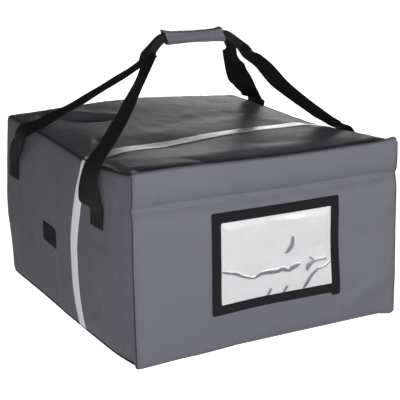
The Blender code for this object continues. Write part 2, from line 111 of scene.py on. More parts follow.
class Fold(NamedTuple):
    """A fold of the cloth from one place to another on a panel, in metres, with its width and height."""

    panel: Panel
    start: Spot
    end: Spot
    width: float
    height: float


class Mark(NamedTuple):
    """A place on one of the film's crinkles, where it lifts and a painted dark reflection runs: across and
    up the flap, with the mark's half width.
    """

    across: float
    up: float
    half: float


class Patch(NamedTuple):
    """A rectangle on a panel: its lowest and highest place across and up the panel."""

    left: float
    right: float
    low: float
    high: float

    def holds(self, across: float, up: float) -> bool:
        """Whether a place lies inside the rectangle."""
        return self.left < across < self.right and self.low < up < self.high

    def within(self, inset: float) -> "Patch":
        """The rectangle that stays inside this one by an inset."""
        return Patch(self.left + inset, self.right - inset, self.low + inset, self.high - inset)

    def runs(self) -> list[tuple[Spot, Spot]]:
        """The rectangle's four edges, in order round it."""
        return closed_runs(
            [(self.left, self.low), (self.right, self.low), (self.right, self.high), (self.left, self.high)]
        )


class Station(NamedTuple):
    """A place on a strap's way.

    Its first five values are shares of the bag's half width, the bulge, the half depth, the height and
    the rise. Then come the webbing's roll in degrees and its fold, from 0, flat, to 1, in half.
    """

    across: float
    bulge: float
    along: float
    of_bag: float
    of_rise: float
    roll: float
    fold: float


class Row(NamedTuple):
    """A place on a strap's run with its roll and fold, and the heading that it is held to, if any."""

    place: Vector
    roll: float
    fold: float
    heading: Vector | None


def bell(offset: float, spread: float) -> float:
    """A smooth bump of height 1 over an offset of 0."""
    return math.exp(-((offset / spread) ** 2))


def ease(share: float) -> float:
    """A smooth step from 0 to 1."""
    share = min(max(share, 0.0), 1.0)
    return share * share * (3 - 2 * share)


def raised(forms: Sequence[Form], across: float, along: float) -> float:
    """Adds up the broad forms of a panel at a place on it."""
    return sum(
        form.rise * bell(across - form.across, form.wide) * bell(along - form.along, form.long)
        for form in forms
    )


def closed_runs(corners: Sequence[Spot]) -> list[tuple[Spot, Spot]]:
    """Pairs each corner with the next one, and the last with the first."""
    return list(zip(corners, [*corners[1:], corners[0]]))


def between(rows: Sequence[Sway], place: float) -> float:
    """Reads a table smoothly.

    Args:
        rows: The table, in order of place.
        place: Where it is read.

    Returns:
        The shift at that place.
    """
    place = min(max(place, rows[0].place), rows[-1].place)
    for low, high in zip(rows, rows[1:]):
        if place <= high.place:
            share = ease((place - low.place) / (high.place - low.place))
            return low.shift + share * (high.shift - low.shift)
    return rows[-1].shift


def to_segment(spot: Spot, start: Spot, end: Spot) -> float:
    """Distance of a spot on a panel from the straight line between two others.

    Args:
        spot: The spot.
        start: One end of the line.
        end: Its other end.

    Returns:
        The distance in metres.
    """
    run = (end[0] - start[0], end[1] - start[1])
    away = (spot[0] - start[0], spot[1] - start[1])
    share = (run[0] * away[0] + run[1] * away[1]) / max(run[0] ** 2 + run[1] ** 2, 1e-9)
    share = min(max(share, 0.0), 1.0)
    return math.hypot(away[0] - share * run[0], away[1] - share * run[1])


@dataclass(frozen=True)
class BagForm:
    """The true box that the bag is laid out on, and the soft shape that it takes."""

    width: float = 0.508
    depth: float = 0.555
    height: float = 0.315
    wall: float = 0.006
    edge_round: float = 0.010
    clear: float = CLEAR
    flap_thickness: float = 0.006
    flap_gap: float = 0.0005
    flap_kick: float = 0.010
    crease_drop: float = 0.052
    crease_width: float = 0.012
    crease_depth: float = 0.0024
    crease_line: float = 0.0045
    crease_step: float = 0.005
    crease_fade: float = 0.020
    lip: float = 0.0034
    lip_width: float = 0.006
    ear: float = 0.0060
    ear_width: float = 0.028
    stripe_width: float = 0.028
    stripe_from_front: float = 0.180
    sway_reach: float = 0.22
    fold_reach: float = 0.030
    rumple: float = 0.0009
    broad_waves: float = 14.0
    fine_waves: float = 31.0
    flap_rumple: float = 1.3
    flap_waves: float = 17.0
    lid_forms: tuple[Form, ...] = (
        Form(0.00, 0.90, 0.75, 0.55, 0.040),
        Form(-1.00, -0.30, 0.20, 0.50, -0.036),
        Form(1.00, -0.05, 0.20, 0.60, -0.030),
        Form(-0.50, -0.36, 0.40, 0.24, -0.036),
        Form(-0.62, 0.52, 0.26, 0.16, -0.020),
        Form(0.10, -1.00, 0.62, 0.26, -0.012),
    )
    side_forms: tuple[Form, ...] = (
        Form(-0.25, 0.42, 0.60, 0.40, 0.030),
        Form(0.95, 0.50, 0.55, 0.32, 0.032),
        Form(-0.20, 0.98, 0.35, 0.12, -0.012),
    )
    back_forms: tuple[Form, ...] = (
        Form(-0.30, 0.45, 0.60, 0.40, 0.020),
        Form(0.45, 0.40, 0.50, 0.36, 0.016),
    )
    flap_forms: tuple[Form, ...] = (
        Form(0.55, 0.16, 0.34, 0.26, 0.028),
        Form(-0.60, 0.50, 0.30, 0.35, 0.010),
    )
    lid_sway: tuple[Sway, ...] = (
        Sway(-1.0, -0.030),
        Sway(-0.5, -0.004),
        Sway(0.0, -0.006),
        Sway(0.5, -0.002),
        Sway(1.0, 0.004),
    )
    side_sway: tuple[Sway, ...] = (
        Sway(0.0, 0.006),
        Sway(0.3, 0.022),
        Sway(0.5, 0.030),
        Sway(0.8, 0.020),
        Sway(1.0, -0.030),
    )
    flap_hem: tuple[Sway, ...] = (
        Sway(-1.00, 0.006),
        Sway(-0.60, 0.014),
        Sway(0.00, 0.030),
        Sway(0.75, 0.040),
        Sway(1.00, 0.008),
    )
    folds: tuple[Fold, ...] = (
        Fold(Panel.LID, (-0.250, -0.095), (-0.190, -0.012), 0.007, -0.0035),
        Fold(Panel.LID, (-0.250, -0.080), (-0.205, -0.010), 0.008, 0.0025),
        Fold(Panel.LID, (-0.200, 0.210), (-0.117, 0.122), 0.014, -0.0050),
        Fold(Panel.LID, (-0.180, 0.235), (-0.090, 0.140), 0.016, 0.0030),
        Fold(Panel.LID, (-0.234, -0.122), (-0.245, -0.237), 0.006, -0.0030),
        Fold(Panel.LID, (-0.060, 0.020), (0.110, 0.060), 0.030, -0.0020),
        Fold(Panel.LID, (0.140, 0.030), (0.215, -0.160), 0.020, 0.0020),
        Fold(Panel.LID, (0.020, -0.180), (0.160, -0.230), 0.022, -0.0018),
        Fold(Panel.LID, (-0.225, -0.262), (0.225, -0.262), 0.012, -0.0034),
        Fold(Panel.LID, (-0.120, -0.215), (0.190, -0.225), 0.020, 0.0020),
        Fold(Panel.LEFT, (-0.300, 0.030), (-0.300, 0.300), 0.060, -0.0130),
        Fold(Panel.LEFT, (-0.262, 0.060), (-0.262, 0.290), 0.006, 0.0020),
        Fold(Panel.LEFT, (-0.150, 0.050), (-0.142, 0.285), 0.009, -0.0022),
        Fold(Panel.LEFT, (-0.190, 0.080), (-0.182, 0.300), 0.010, 0.0022),
        Fold(Panel.LEFT, (-0.232, 0.030), (-0.234, 0.290), 0.010, -0.0026),
        Fold(Panel.LEFT, (-0.212, 0.060), (-0.208, 0.280), 0.008, 0.0016),
        Fold(Panel.LEFT, (0.060, 0.280), (0.140, 0.120), 0.022, -0.0030),
        Fold(Panel.LEFT, (0.010, 0.240), (-0.010, 0.060), 0.020, 0.0022),
        Fold(Panel.LEFT, (0.200, 0.260), (0.250, 0.060), 0.018, -0.0020),
        Fold(Panel.RIGHT, (-0.150, 0.060), (-0.140, 0.280), 0.012, -0.0024),
        Fold(Panel.RIGHT, (0.040, 0.250), (0.120, 0.090), 0.022, -0.0026),
        Fold(Panel.RIGHT, (0.190, 0.270), (0.230, 0.060), 0.018, 0.0020),
        Fold(Panel.BACK, (-0.150, 0.270), (-0.110, 0.070), 0.020, -0.0024),
        Fold(Panel.BACK, (0.110, 0.260), (0.150, 0.080), 0.022, -0.0022),
        Fold(Panel.BACK, (-0.020, 0.220), (0.010, 0.050), 0.018, 0.0018),
        Fold(Panel.FLAP, (-0.200, 0.250), (0.215, 0.252), 0.014, -0.0012),
        Fold(Panel.FLAP, (-0.185, 0.045), (-0.165, 0.235), 0.014, -0.0014),
        Fold(Panel.FLAP, (0.165, 0.060), (0.185, 0.250), 0.016, -0.0014),
        Fold(Panel.FLAP, (0.150, 0.030), (0.235, 0.075), 0.016, 0.0022),
    )

    @property
    def half_width(self) -> float:
        """Half of the box's width."""
        return self.width / 2

    @property
    def half_depth(self) -> float:
        """Half of the box's depth."""
        return self.depth / 2

    @property
    def mouth(self) -> float:
        """Where the padded body ends behind the flap."""
        return -self.half_depth + self.flap_thickness + self.flap_gap

    @property
    def stripe_front(self) -> float:
        """The stripe's front edge."""
        return self.stripe_from_front - self.half_depth

    @property
    def stripe_back(self) -> float:
        """The stripe's back edge."""
        return self.stripe_front + self.stripe_width

    def folded(self, point: Vector) -> Vector:
        """Finds how the cloth's folds move a point of the true box.

        Args:
            point: A point of the box's surface.

        Returns:
            The move out from the box that the folds and the rumple give.
        """
        near = {
            Panel.LEFT: (point.x + self.half_width, Vector((-1, 0, 0)), (point.y, point.z)),
            Panel.RIGHT: (self.half_width - point.x, Vector((1, 0, 0)), (point.y, point.z)),
            Panel.BACK: (self.half_depth - point.y, Vector((0, 1, 0)), (point.x, point.z)),
            Panel.LID: (self.height - point.z, Vector((0, 0, 1)), (point.x, point.y)),
        }
        move = Vector((0, 0, 0))
        for fold in self.folds:
            if fold.panel not in near:
                continue
            depth, out, spot = near[fold.panel]
            if depth > self.fold_reach:
                continue
            weight = 1 - max(depth, 0.0) / self.fold_reach
            move += out * (weight * fold.height * bell(to_segment(spot, fold.start, fold.end), fold.width))
        for depth, out, _ in near.values():
            weight = 1 - min(max(depth, 0.0) / self.fold_reach, 1.0)
            wave = noise.noise(point * self.broad_waves) + 0.5 * noise.noise(point * self.fine_waves + out)
            move += out * (weight * self.rumple * wave)
        return move

    def slump(self, point: Vector) -> Vector:
        """Finds where a point of the true box lies on the soft bag.

        Args:
            point: A point of the box.

        Returns:
            Its place on the soft bag.
        """
        across = point.x / self.half_width
        along = point.y / self.half_depth
        up = point.z / self.height
        lid = raised(self.lid_forms, across, along)
        side = raised(self.side_forms, along, up)
        back = raised(self.back_forms, across, up)
        on_lid = max(up, 0.0) ** 3
        sway = on_lid * between(self.lid_sway, across) + (1 - on_lid) * between(self.side_sway, up)
        middle = (self.stripe_front + self.stripe_back) / 2
        reach = bell(point.y - middle, self.sway_reach * self.depth)
        return Vector(
            (
                point.x + across * abs(across) ** 2 * side * self.half_width,
                point.y + max(along, 0.0) ** 3 * back * self.half_depth + sway * reach * self.depth,
                point.z + on_lid * lid * self.height,
            )
        )

    def hang(self, point: Vector) -> Vector:
        """Finds where a point of the flap's flat slab lies on the hanging flap.

        Args:
            point: A point of the slab.

        Returns:
            Its place once the flap hangs from the lid and kicks out at its foot.
        """
        up = point.z / self.height
        across = point.x / self.half_width
        swing = 1.0 - min(max(up, 0.0), 1.0)
        front = (-self.half_depth + self.flap_thickness - point.y) / self.flap_thickness
        fine = sum(
            fold.height * bell(to_segment((point.x, point.z), fold.start, fold.end), fold.width)
            for fold in self.folds
            if fold.panel is Panel.FLAP
        )
        fine += self.flap_rumple * self.rumple * noise.noise(point * self.flap_waves) * ease(swing * 8)
        bulge = raised(self.flap_forms, across, up)
        out = self.flap_kick * swing + bulge * self.half_depth + fine * front
        crease = self.crease_depth * bell(point.z - (self.height - self.crease_drop), self.crease_width)
        below = self.height - self.crease_drop - point.z
        under = ease(below / self.crease_step + 0.5) * bell(max(below, 0.0), self.crease_fade)
        crease += self.crease_line * under
        lift = between(self.flap_hem, across) * self.height * swing**2
        ear = self.ear * bell(self.half_width - point.x, self.ear_width)
        lift += bell(self.height - point.z, self.lip_width) * (self.lip + ear)
        return self.slump(Vector((point.x, point.y - out + crease * front, point.z + lift)))


def frame_shift() -> Vector:
    """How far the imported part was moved, from where it was laid out, to stand centred on the ground."""
    low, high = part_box("handle_wrap")
    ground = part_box("bottom_panel")[0][2]
    return Vector(((low[0] + high[0]) / 2 - GRIP_SHIFT, (low[1] + high[1]) / 2, ground))


def stops_between(stops: Sequence[float], step: float) -> list[float]:
    """Puts even steps between some stops.

    Args:
        stops: The stops, in order.
        step: The longest step wanted.

    Returns:
        The stops with the places between them.
    """
    places = [stops[0]]
    for low, high in zip(stops, stops[1:]):
        count = max(1, math.ceil((high - low) / step - 0.2))
        places += [low + (high - low) * index / count for index in range(1, count + 1)]
    return places


def cut_grid(mesh: BMesh, axis: int, places: Sequence[float]) -> None:
    """Cuts a mesh across one axis at some places.

    Args:
        mesh: The mesh.
        axis: 0, 1 or 2.
        places: Where it is cut.
    """
    for place in places:
        origin = Vector((0, 0, 0))
        origin[axis] = place
        normal = Vector((0, 0, 0))
        normal[axis] = 1.0
        geometry = mesh.verts[:] + mesh.edges[:] + mesh.faces[:]
        bmesh.ops.bisect_plane(mesh, geom=geometry, dist=SAME_PLACE, plane_co=origin, plane_no=normal)


def plain_slab(size: Sequence[float], middle: Vector) -> BMesh:
    """Makes a box with sharp edges from its three sizes and its middle."""
    mesh = bmesh.new()
    bmesh.ops.create_cube(mesh, size=1.0, matrix=Matrix.Translation(middle) @ Matrix.Diagonal((*size, 1)))
    return mesh


def round_edges(mesh: BMesh, edges: Sequence[BMEdge], rounding: float, segments: int) -> None:
    """Rounds some edges of a mesh.

    Args:
        mesh: The mesh.
        edges: The edges.
        rounding: Their radius.
        segments: Faces round each edge.
    """
    bmesh.ops.bevel(
        mesh,
        geom=edges,
        offset=rounding,
        segments=segments,
        profile=0.5,
        affect="EDGES",
        material=-1,
    )


def rounded_slab(size: Sequence[float], middle: Vector, rounding: float, segments: int) -> BMesh:
    """Makes a box with rounded edges.

    Args:
        size: Its three sizes.
        middle: Its middle.
        rounding: The radius of its edges.
        segments: Faces round each edge.

    Returns:
        The mesh.
    """
    mesh = plain_slab(size, middle)
    round_edges(mesh, mesh.edges[:], rounding, segments)
    return mesh


def move_verts(mesh: BMesh, place: Place) -> None:
    """Moves each vertex to its place and works out the normals again."""
    for vert in mesh.verts:
        vert.co = place(vert.co)
    mesh.normal_update()


def map_cloth(mesh: BMesh, spot: Callable[[BMFace, Vector], Spot]) -> None:
    """Lays the cloth's own coordinates, in metres, on a mesh while it is still flat.

    Args:
        mesh: The mesh.
        spot: Gives the two coordinates of a face's corner.
    """
    layer = mesh.loops.layers.uv.get("cloth") or mesh.loops.layers.uv.new("cloth")
    for face in mesh.faces:
        for loop in face.loops:
            loop[layer].uv = spot(face, loop.vert.co)


def keep_normals(mesh: BMesh) -> None:
    """Stores the way out of each vertex, so that neighbouring pieces agree about it."""
    out = mesh.verts.layers.float_vector.get("out") or mesh.verts.layers.float_vector.new("out")
    for vert in mesh.verts:
        vert[out] = vert.normal * vert.calc_shell_factor()


def border_moves(mesh: BMesh) -> dict[BMVert, Vector]:
    """For each border vertex of an open skin, the move that takes its border in by one metre."""
    steps: dict[BMVert, list[Vector]] = {}
    for edge in mesh.edges:
        if len(edge.link_faces) != 1:
            continue
        loop = edge.link_loops[0]
        run = loop.link_loop_next.vert.co - loop.vert.co
        inward = loop.face.normal.cross(run).normalized()
        for vert in edge.verts:
            steps.setdefault(vert, []).append(inward)
    moves = {}
    for vert, inwards in steps.items():
        total = sum(inwards, Vector((0, 0, 0)))
        moves[vert] = total * (len(inwards) / max(total.length_squared, 1e-9))
    return moves


def layer_over(
    skin: BMesh, chosen: Callable[[BMFace], bool], low: float, high: float, inset: float
) -> BMesh:
    """Makes a closed layer over some of a skin's faces.

    Args:
        skin: The skin, with its ways out stored.
        chosen: Tells which faces the layer covers.
        low: Height of its underside over the skin.
        high: Height of its top.
        inset: How far its border stays inside theirs.

    Returns:
        The layer's mesh.
    """
    left_out_places = [index for index, face in enumerate(skin.faces) if not chosen(face)]
    mesh = skin.copy()
    mesh.faces.ensure_lookup_table()
    left_out = [mesh.faces[index] for index in left_out_places]
    bmesh.ops.delete(mesh, geom=left_out, context="FACES")
    out = mesh.verts.layers.float_vector["out"]
    for vert, move in border_moves(mesh).items():
        vert.co += move * inset
    under = mesh.verts[:]
    made = bmesh.ops.extrude_face_region(mesh, geom=mesh.faces[:], use_keep_orig=True)
    for vert in [part for part in made["geom"] if isinstance(part, BMVert)]:
        vert.co += vert[out] * high
    for vert in under:
        vert.co += vert[out] * low
    bmesh.ops.recalc_face_normals(mesh, faces=mesh.faces[:])
    return mesh


def finished(
    name: str,
    mesh: BMesh,
    dress: bpy.types.Material,
    shift: Vector,
    smooth: int = 0,
    sharp: float = 40,
) -> bpy.types.Object:
    """Turns a mesh into a piece of the bag.

    Args:
        name: The piece's name.
        mesh: Its mesh, which is freed.
        dress: Its material.
        shift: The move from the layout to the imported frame.
        smooth: Levels of Subdivision Surface.
        sharp: Angle in degrees past which an edge shows.

    Returns:
        The piece, which rides on the one body.
    """
    bmesh.ops.translate(mesh, vec=shift, verts=mesh.verts[:])
    mesh.normal_update()
    data = bpy.data.meshes.new(name)
    mesh.to_mesh(data)
    mesh.free()
    if "out" in data.attributes:
        data.attributes.remove(data.attributes["out"])
    data.shade_smooth()
    if not smooth:
        data.set_sharp_from_angle(angle=math.radians(sharp))
    data.materials.append(dress)
    piece = bpy.data.objects.new(name, data)
    bpy.context.scene.collection.objects.link(piece)
    if smooth:
        modifier = piece.modifiers.new("smooth", "SUBSURF")
        modifier.levels = smooth
        modifier.render_levels = smooth
    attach(piece, "root")
    log.info("built %s", name)
    return piece


class NodeTree:
    """A node tree with short ways to add and join nodes."""

    def __init__(self, tree: bpy.types.NodeTree) -> None:
        """Takes the tree that the nodes go into."""
        self.tree = tree

    @classmethod
    def group(cls, name: str, inputs: dict[str, str], outputs: dict[str, str]) -> "NodeTree":
        """Starts a shader node group.

        Args:
            name: The group's name.
            inputs: Socket type by input name.
            outputs: Socket type by output name.

        Returns:
            The group, with its input and output nodes as start and end.
        """
        tree = bpy.data.node_groups.new(name, "ShaderNodeTree")
        for label, kind in inputs.items():
            tree.interface.new_socket(name=label, in_out="INPUT", socket_type=kind)
        for label, kind in outputs.items():
            tree.interface.new_socket(name=label, in_out="OUTPUT", socket_type=kind)
        made = cls(tree)
        made.start = made.add("NodeGroupInput")
        made.end = made.add("NodeGroupOutput")
        return made

    def add(self, kind: str, **values: object) -> bpy.types.Node:
        """Adds a node and sets its properties."""
        node = self.tree.nodes.new(kind)
        for key, value in values.items():
            setattr(node, key, value)
        return node

    def join(self, source: Socket, target: Socket) -> None:
        """Links one socket to another."""
        self.tree.links.new(source, target)

    def put(self, target: Socket, value: object) -> None:
        """Links a socket, or sets a plain value, on an input."""
        if isinstance(value, Socket):
            self.join(value, target)
        else:
            target.default_value = value

    def math(self, operation: str, *values: object, clamp: bool = False) -> Socket:
        """Adds a Math node on sockets or numbers and gives its result."""
        node = self.add("ShaderNodeMath", operation=operation, use_clamp=clamp)
        for target, value in zip(node.inputs, values):
            self.put(target, value)
        return node.outputs[0]

    def noise(self, vector: object, scale: object, detail: float = 2.0, rough: float = 0.5) -> Socket:
        """Adds a Noise texture and gives its value."""
        node = self.add("ShaderNodeTexNoise")
        self.fill(node, Vector=vector, Scale=scale, Detail=detail, Roughness=rough)
        return node.outputs[0]

    def ranged(self, value: object, low: float, high: float, to_low: float, to_high: float) -> Socket:
        """Adds a Map Range node and gives its result."""
        node = self.add("ShaderNodeMapRange")
        for target, given in zip(node.inputs, (value, low, high, to_low, to_high)):
            self.put(target, given)
        return node.outputs[0]

    def mixed(self, share: object, first: object, second: object) -> Socket:
        """Adds a Mix node on its two colour inputs and gives its colour result."""
        node = self.add("ShaderNodeMix", data_type="RGBA")
        for index, value in ((0, share), (6, first), (7, second)):
            self.put(node.inputs[index], value)
        return node.outputs[2]

    def bump(self, height: Socket, strength: float, distance: float) -> bpy.types.Node:
        """Adds a Bump node on a height."""
        node = self.add("ShaderNodeBump")
        self.fill(node, Height=height, Strength=strength, Distance=distance)
        return node

    def fill(self, node: bpy.types.Node, **values: object) -> None:
        """Fills a node's inputs by name, where _ stands for a space."""
        for label, value in values.items():
            self.put(node.inputs[label.replace("_", " ")], value)

    def placed(self, group: "NodeTree", **values: object) -> bpy.types.Node:
        """Places a node group and fills its inputs."""
        node = self.add("ShaderNodeGroup", node_tree=group.tree)
        self.fill(node, **values)
        return node


@dataclass
class Effects:
    """Shader node groups that several finishes share."""

    weave: NodeTree = field(init=False)
    rib: NodeTree = field(init=False)
    tone: NodeTree = field(init=False)

    def __post_init__(self) -> None:
        """Builds the three groups."""
        self.weave = self.build_weave()
        self.rib = self.build_rib()
        self.tone = self.build_tone_and_shade()

    def build_weave(self) -> NodeTree:
        """Builds a plain weave of crossing threads.

        Returns:
            The group: Height of the threads and Gap, a mask of painted shade in the holes between them.
        """
        tree = NodeTree.group(
            "Plain weave",
            {"Vector": "NodeSocketVector", "Threads": "NodeSocketFloat"},
            {"Height": "NodeSocketFloat", "Gap": "NodeSocketFloat"},
        )
        split = tree.add("ShaderNodeSeparateXYZ")
        tree.join(tree.start.outputs["Vector"], split.inputs[0])
        turns = tree.math("MULTIPLY", tree.start.outputs["Threads"], math.pi)
        weft = tree.math("MULTIPLY", split.outputs[0], turns)
        warp = tree.math("MULTIPLY", split.outputs[1], turns)
        weft_round = tree.math("ABSOLUTE", tree.math("SINE", weft))
        warp_round = tree.math("ABSOLUTE", tree.math("SINE", warp))
        over = tree.math("MULTIPLY", tree.math("COSINE", weft), tree.math("COSINE", warp))
        share = tree.math("MULTIPLY_ADD", over, 0.5, 0.5)
        lengthwise = tree.math("MULTIPLY", weft_round, share)
        crosswise = tree.math("MULTIPLY", warp_round, tree.math("SUBTRACT", 1.0, share))
        height = tree.math("MAXIMUM", lengthwise, crosswise)
        tree.join(height, tree.end.inputs["Height"])
        # Painted shade in the holes between the threads.
        gap = tree.math("SUBTRACT", 1.0, tree.math("MAXIMUM", weft_round, warp_round), clamp=True)
        tree.join(tree.math("POWER", gap, 1.5), tree.end.inputs["Gap"])
        return tree

    def build_rib(self) -> NodeTree:
        """Builds the ribs of webbing: short ribs across it, stepped along its warp cords.

        Returns:
            The group: Height of the ribs and Gap, a mask of painted shade between the warp cords.
        """
        tree = NodeTree.group(
            "Rib weave",
            {"Vector": "NodeSocketVector", "Rib": "NodeSocketFloat", "Cord": "NodeSocketFloat"},
            {"Height": "NodeSocketFloat", "Gap": "NodeSocketFloat"},
        )
        split = tree.add("ShaderNodeSeparateXYZ")
        tree.join(tree.start.outputs["Vector"], split.inputs[0])
        along = tree.math("DIVIDE", split.outputs[0], tree.start.outputs["Rib"])
        cord = tree.math("DIVIDE", split.outputs[1], tree.start.outputs["Cord"])
        step = tree.math("MULTIPLY", tree.math("PINGPONG", cord, 1.0), 0.5)
        slanted = tree.math("MULTIPLY", tree.math("ADD", along, step), math.pi)
        rib = tree.math("ABSOLUTE", tree.math("SINE", slanted))
        cords = tree.math("ABSOLUTE", tree.math("SINE", tree.math("MULTIPLY", cord, math.pi)))
        height = tree.math("MULTIPLY", tree.math("POWER", rib, 0.7), tree.math("POWER", cords, 0.4))
        tree.join(height, tree.end.inputs["Height"])
        # Painted shade between the warp cords.
        gap = tree.math("SUBTRACT", 1.0, tree.math("MINIMUM", rib, cords), clamp=True)
        tree.join(tree.math("POWER", gap, 3.0), tree.end.inputs["Gap"])
        return tree

    def build_tone_and_shade(self) -> NodeTree:
        """Builds the uneven colour of used cloth, broad patches and fine slubs, with painted shade near the
        seams and in the gaps between threads.

        Returns:
            The group: Colour and the change in Roughness.
        """
        tree = NodeTree.group(
            "Cloth tone",
            {
                "Vector": "NodeSocketVector",
                "Colour": "NodeSocketColor",
                "Spread": "NodeSocketFloat",
                "Seam": "NodeSocketFloat",
                "Gap": "NodeSocketFloat",
            },
            {"Colour": "NodeSocketColor", "Roughness": "NodeSocketFloat"},
        )
        vector = tree.start.outputs["Vector"]
        spread = tree.start.outputs["Spread"]
        broad = tree.noise(vector, scale=9.0, detail=3.0)
        fine = tree.noise(vector, scale=260.0, detail=2.0, rough=0.6)
        both = tree.math("ADD", tree.math("MULTIPLY", broad, 0.6), tree.math("MULTIPLY", fine, 0.4))
        change = tree.math("MULTIPLY", tree.math("SUBTRACT", both, 0.5), spread)
        lit = tree.math("ADD", 1.0, tree.math("MULTIPLY", change, 2.0))
        # Painted shade: the colour darkens near the seams.
        lit = tree.math("SUBTRACT", lit, tree.math("MULTIPLY", tree.start.outputs["Seam"], 0.16))
        # Painted shade: the colour darkens in the gaps between threads.
        lit = tree.math("SUBTRACT", lit, tree.math("MULTIPLY", tree.start.outputs["Gap"], 0.35))
        scaled = tree.add("ShaderNodeVectorMath", operation="SCALE")
        tree.join(tree.start.outputs["Colour"], scaled.inputs[0])
        tree.join(lit, scaled.inputs["Scale"])
        tree.join(scaled.outputs[0], tree.end.inputs["Colour"])
        tree.join(tree.math("MULTIPLY", change, 0.5), tree.end.inputs["Roughness"])
        return tree


@dataclass(frozen=True)
class WovenFinish:
    """A woven cloth: its colour, gloss and threads."""

    name: str
    colour: Colour
    roughness: float
    threads: float
    sheen: float = 0.03
    spread: float = 0.16
    thread_height: float = 0.00010
    specular: float = 0.35

    def build(self, effects: Effects) -> bpy.types.Material:
        """Builds the material.

        Args:
            effects: The shared node groups.

        Returns:
            The material, which reads the piece's cloth coordinates and its seam attribute, a mask of painted
            shade near the seams.
        """
        made, tree, shader = new_material(self.name)
        cloth = tree.add("ShaderNodeUVMap", uv_map="cloth").outputs[0]
        where = tree.add("ShaderNodeTexCoord").outputs["Object"]
        # The seam attribute is a mask of painted shade near the seams.
        seam = tree.add("ShaderNodeAttribute", attribute_name="seam").outputs["Fac"]
        weave = tree.placed(effects.weave, Vector=cloth, Threads=self.threads)
        tone = tree.placed(
            effects.tone,
            Vector=where,
            Colour=(*self.colour, 1.0),
            Spread=self.spread,
            Seam=seam,
            Gap=weave.outputs["Gap"],
        )
        creased = tree.noise(where, scale=38.0, detail=4.0, rough=0.55)
        wrinkles = tree.bump(creased, strength=0.35, distance=0.004)
        threads = tree.bump(weave.outputs["Height"], strength=0.6, distance=self.thread_height)
        tree.join(wrinkles.outputs[0], threads.inputs["Normal"])
        tree.fill(
            shader,
            Base_Color=tone.outputs["Colour"],
            Roughness=tree.math("ADD", tone.outputs["Roughness"], self.roughness),
            Sheen_Weight=self.sheen,
            Sheen_Roughness=0.45,
            Specular_IOR_Level=self.specular,
            Normal=threads.outputs[0],
        )
        return made


@dataclass(frozen=True)
class WebbingFinish:
    """Ribbed webbing or twill tape."""

    name: str
    colour: Colour
    roughness: float
    rib: float = 0.0016
    cord: float = 0.0030
    rib_height: float = 0.00045
    specular: float = 0.30

    def build(self, effects: Effects) -> bpy.types.Material:
        """Builds the material.

        Args:
            effects: The shared node groups.

        Returns:
            The material, with ribs across the piece's cloth coordinates.
        """
        made, tree, shader = new_material(self.name)
        cloth = tree.add("ShaderNodeUVMap", uv_map="cloth").outputs[0]
        where = tree.add("ShaderNodeTexCoord").outputs["Object"]
        rib = tree.placed(effects.rib, Vector=cloth, Rib=self.rib, Cord=self.cord)
        tone = tree.placed(
            effects.tone,
            Vector=where,
            Colour=(*self.colour, 1.0),
            Spread=0.30,
            Seam=0.0,
            Gap=rib.outputs["Gap"],
        )
        tree.fill(
            shader,
            Base_Color=tone.outputs["Colour"],
            Roughness=tree.math("ADD", tone.outputs["Roughness"], self.roughness),
            Specular_IOR_Level=self.specular,
            Normal=tree.bump(rib.outputs["Height"], strength=0.8, distance=self.rib_height).outputs[0],
        )
        return made


@dataclass(frozen=True)
class TapeFinish:
    """Reflective tape: fine glass beads on a pale cloth, with a faint ridge pattern."""

    name: str
    colour: Colour
    roughness: float

    def build(self, effects: Effects) -> bpy.types.Material:
        """Builds the material.

        Args:
            effects: The shared node groups.

        Returns:
            The material.
        """
        made, tree, shader = new_material(self.name)
        cloth = tree.add("ShaderNodeUVMap", uv_map="cloth").outputs[0]
        where = tree.add("ShaderNodeTexCoord").outputs["Object"]
        weave = tree.placed(effects.weave, Vector=cloth, Threads=2600.0)
        tone = tree.placed(
            effects.tone,
            Vector=where,
            Colour=(*self.colour, 1.0),
            Spread=0.14,
            Seam=0.0,
            Gap=weave.outputs["Gap"],
        )
        beads = tree.noise(where, scale=2400.0, detail=0.0)
        beaded = tree.ranged(beads, low=0.55, high=0.75, to_low=0.0, to_high=0.25)
        tree.fill(
            shader,
            Base_Color=tree.mixed(beaded, tone.outputs["Colour"], (0.75, 0.76, 0.78, 1)),
            Roughness=tree.math("ADD", tone.outputs["Roughness"], self.roughness),
            Metallic=0.15,
            Normal=tree.bump(weave.outputs["Height"], strength=0.3, distance=0.00008).outputs[0],
        )
        return made


@dataclass(frozen=True)
class FilmFinish:
    """Clear soft film, a little cloudy, whose pale colour is partly painted glare, with painted dark
    reflections as grey marks along its crinkles.
    """

    name: str
    colour: Colour
    roughness: float
    # Colour of the painted dark reflections along the crinkles.
    mark: Colour
    clearness: float

    def build(self, effects: Effects) -> bpy.types.Material:
        """Builds the material.

        Args:
            effects: The shared node groups.

        Returns:
            The material, which reads the piece's mask of painted dark reflections along the crinkles.
        """
        made, tree, shader = new_material(self.name)
        where = tree.add("ShaderNodeTexCoord").outputs["Object"]
        crinkle_and_reflection = tree.add("ShaderNodeAttribute", attribute_name="crinkle_and_reflection").outputs["Fac"]
        tone = tree.placed(
            effects.tone,
            Vector=where,
            Colour=(*self.colour, 1.0),
            Spread=0.03,
            Seam=0.0,
            Gap=0.0,
        )
        waves = tree.noise(where, scale=45.0, detail=2.0)
        # Painted dark reflection: greyer and less clear along the crinkles.
        tree.fill(
            shader,
            Base_Color=tree.mixed(crinkle_and_reflection, tone.outputs["Colour"], (*self.mark, 1.0)),
            Roughness=tree.math("ADD", tone.outputs["Roughness"], self.roughness),
            Alpha=tree.ranged(crinkle_and_reflection, 0.0, 1.0, 1.0 - self.clearness, 0.95),
            Coat_Weight=0.25,
            Coat_Roughness=0.08,
            Normal=tree.bump(waves, strength=0.25, distance=0.002).outputs[0],
        )
        return made


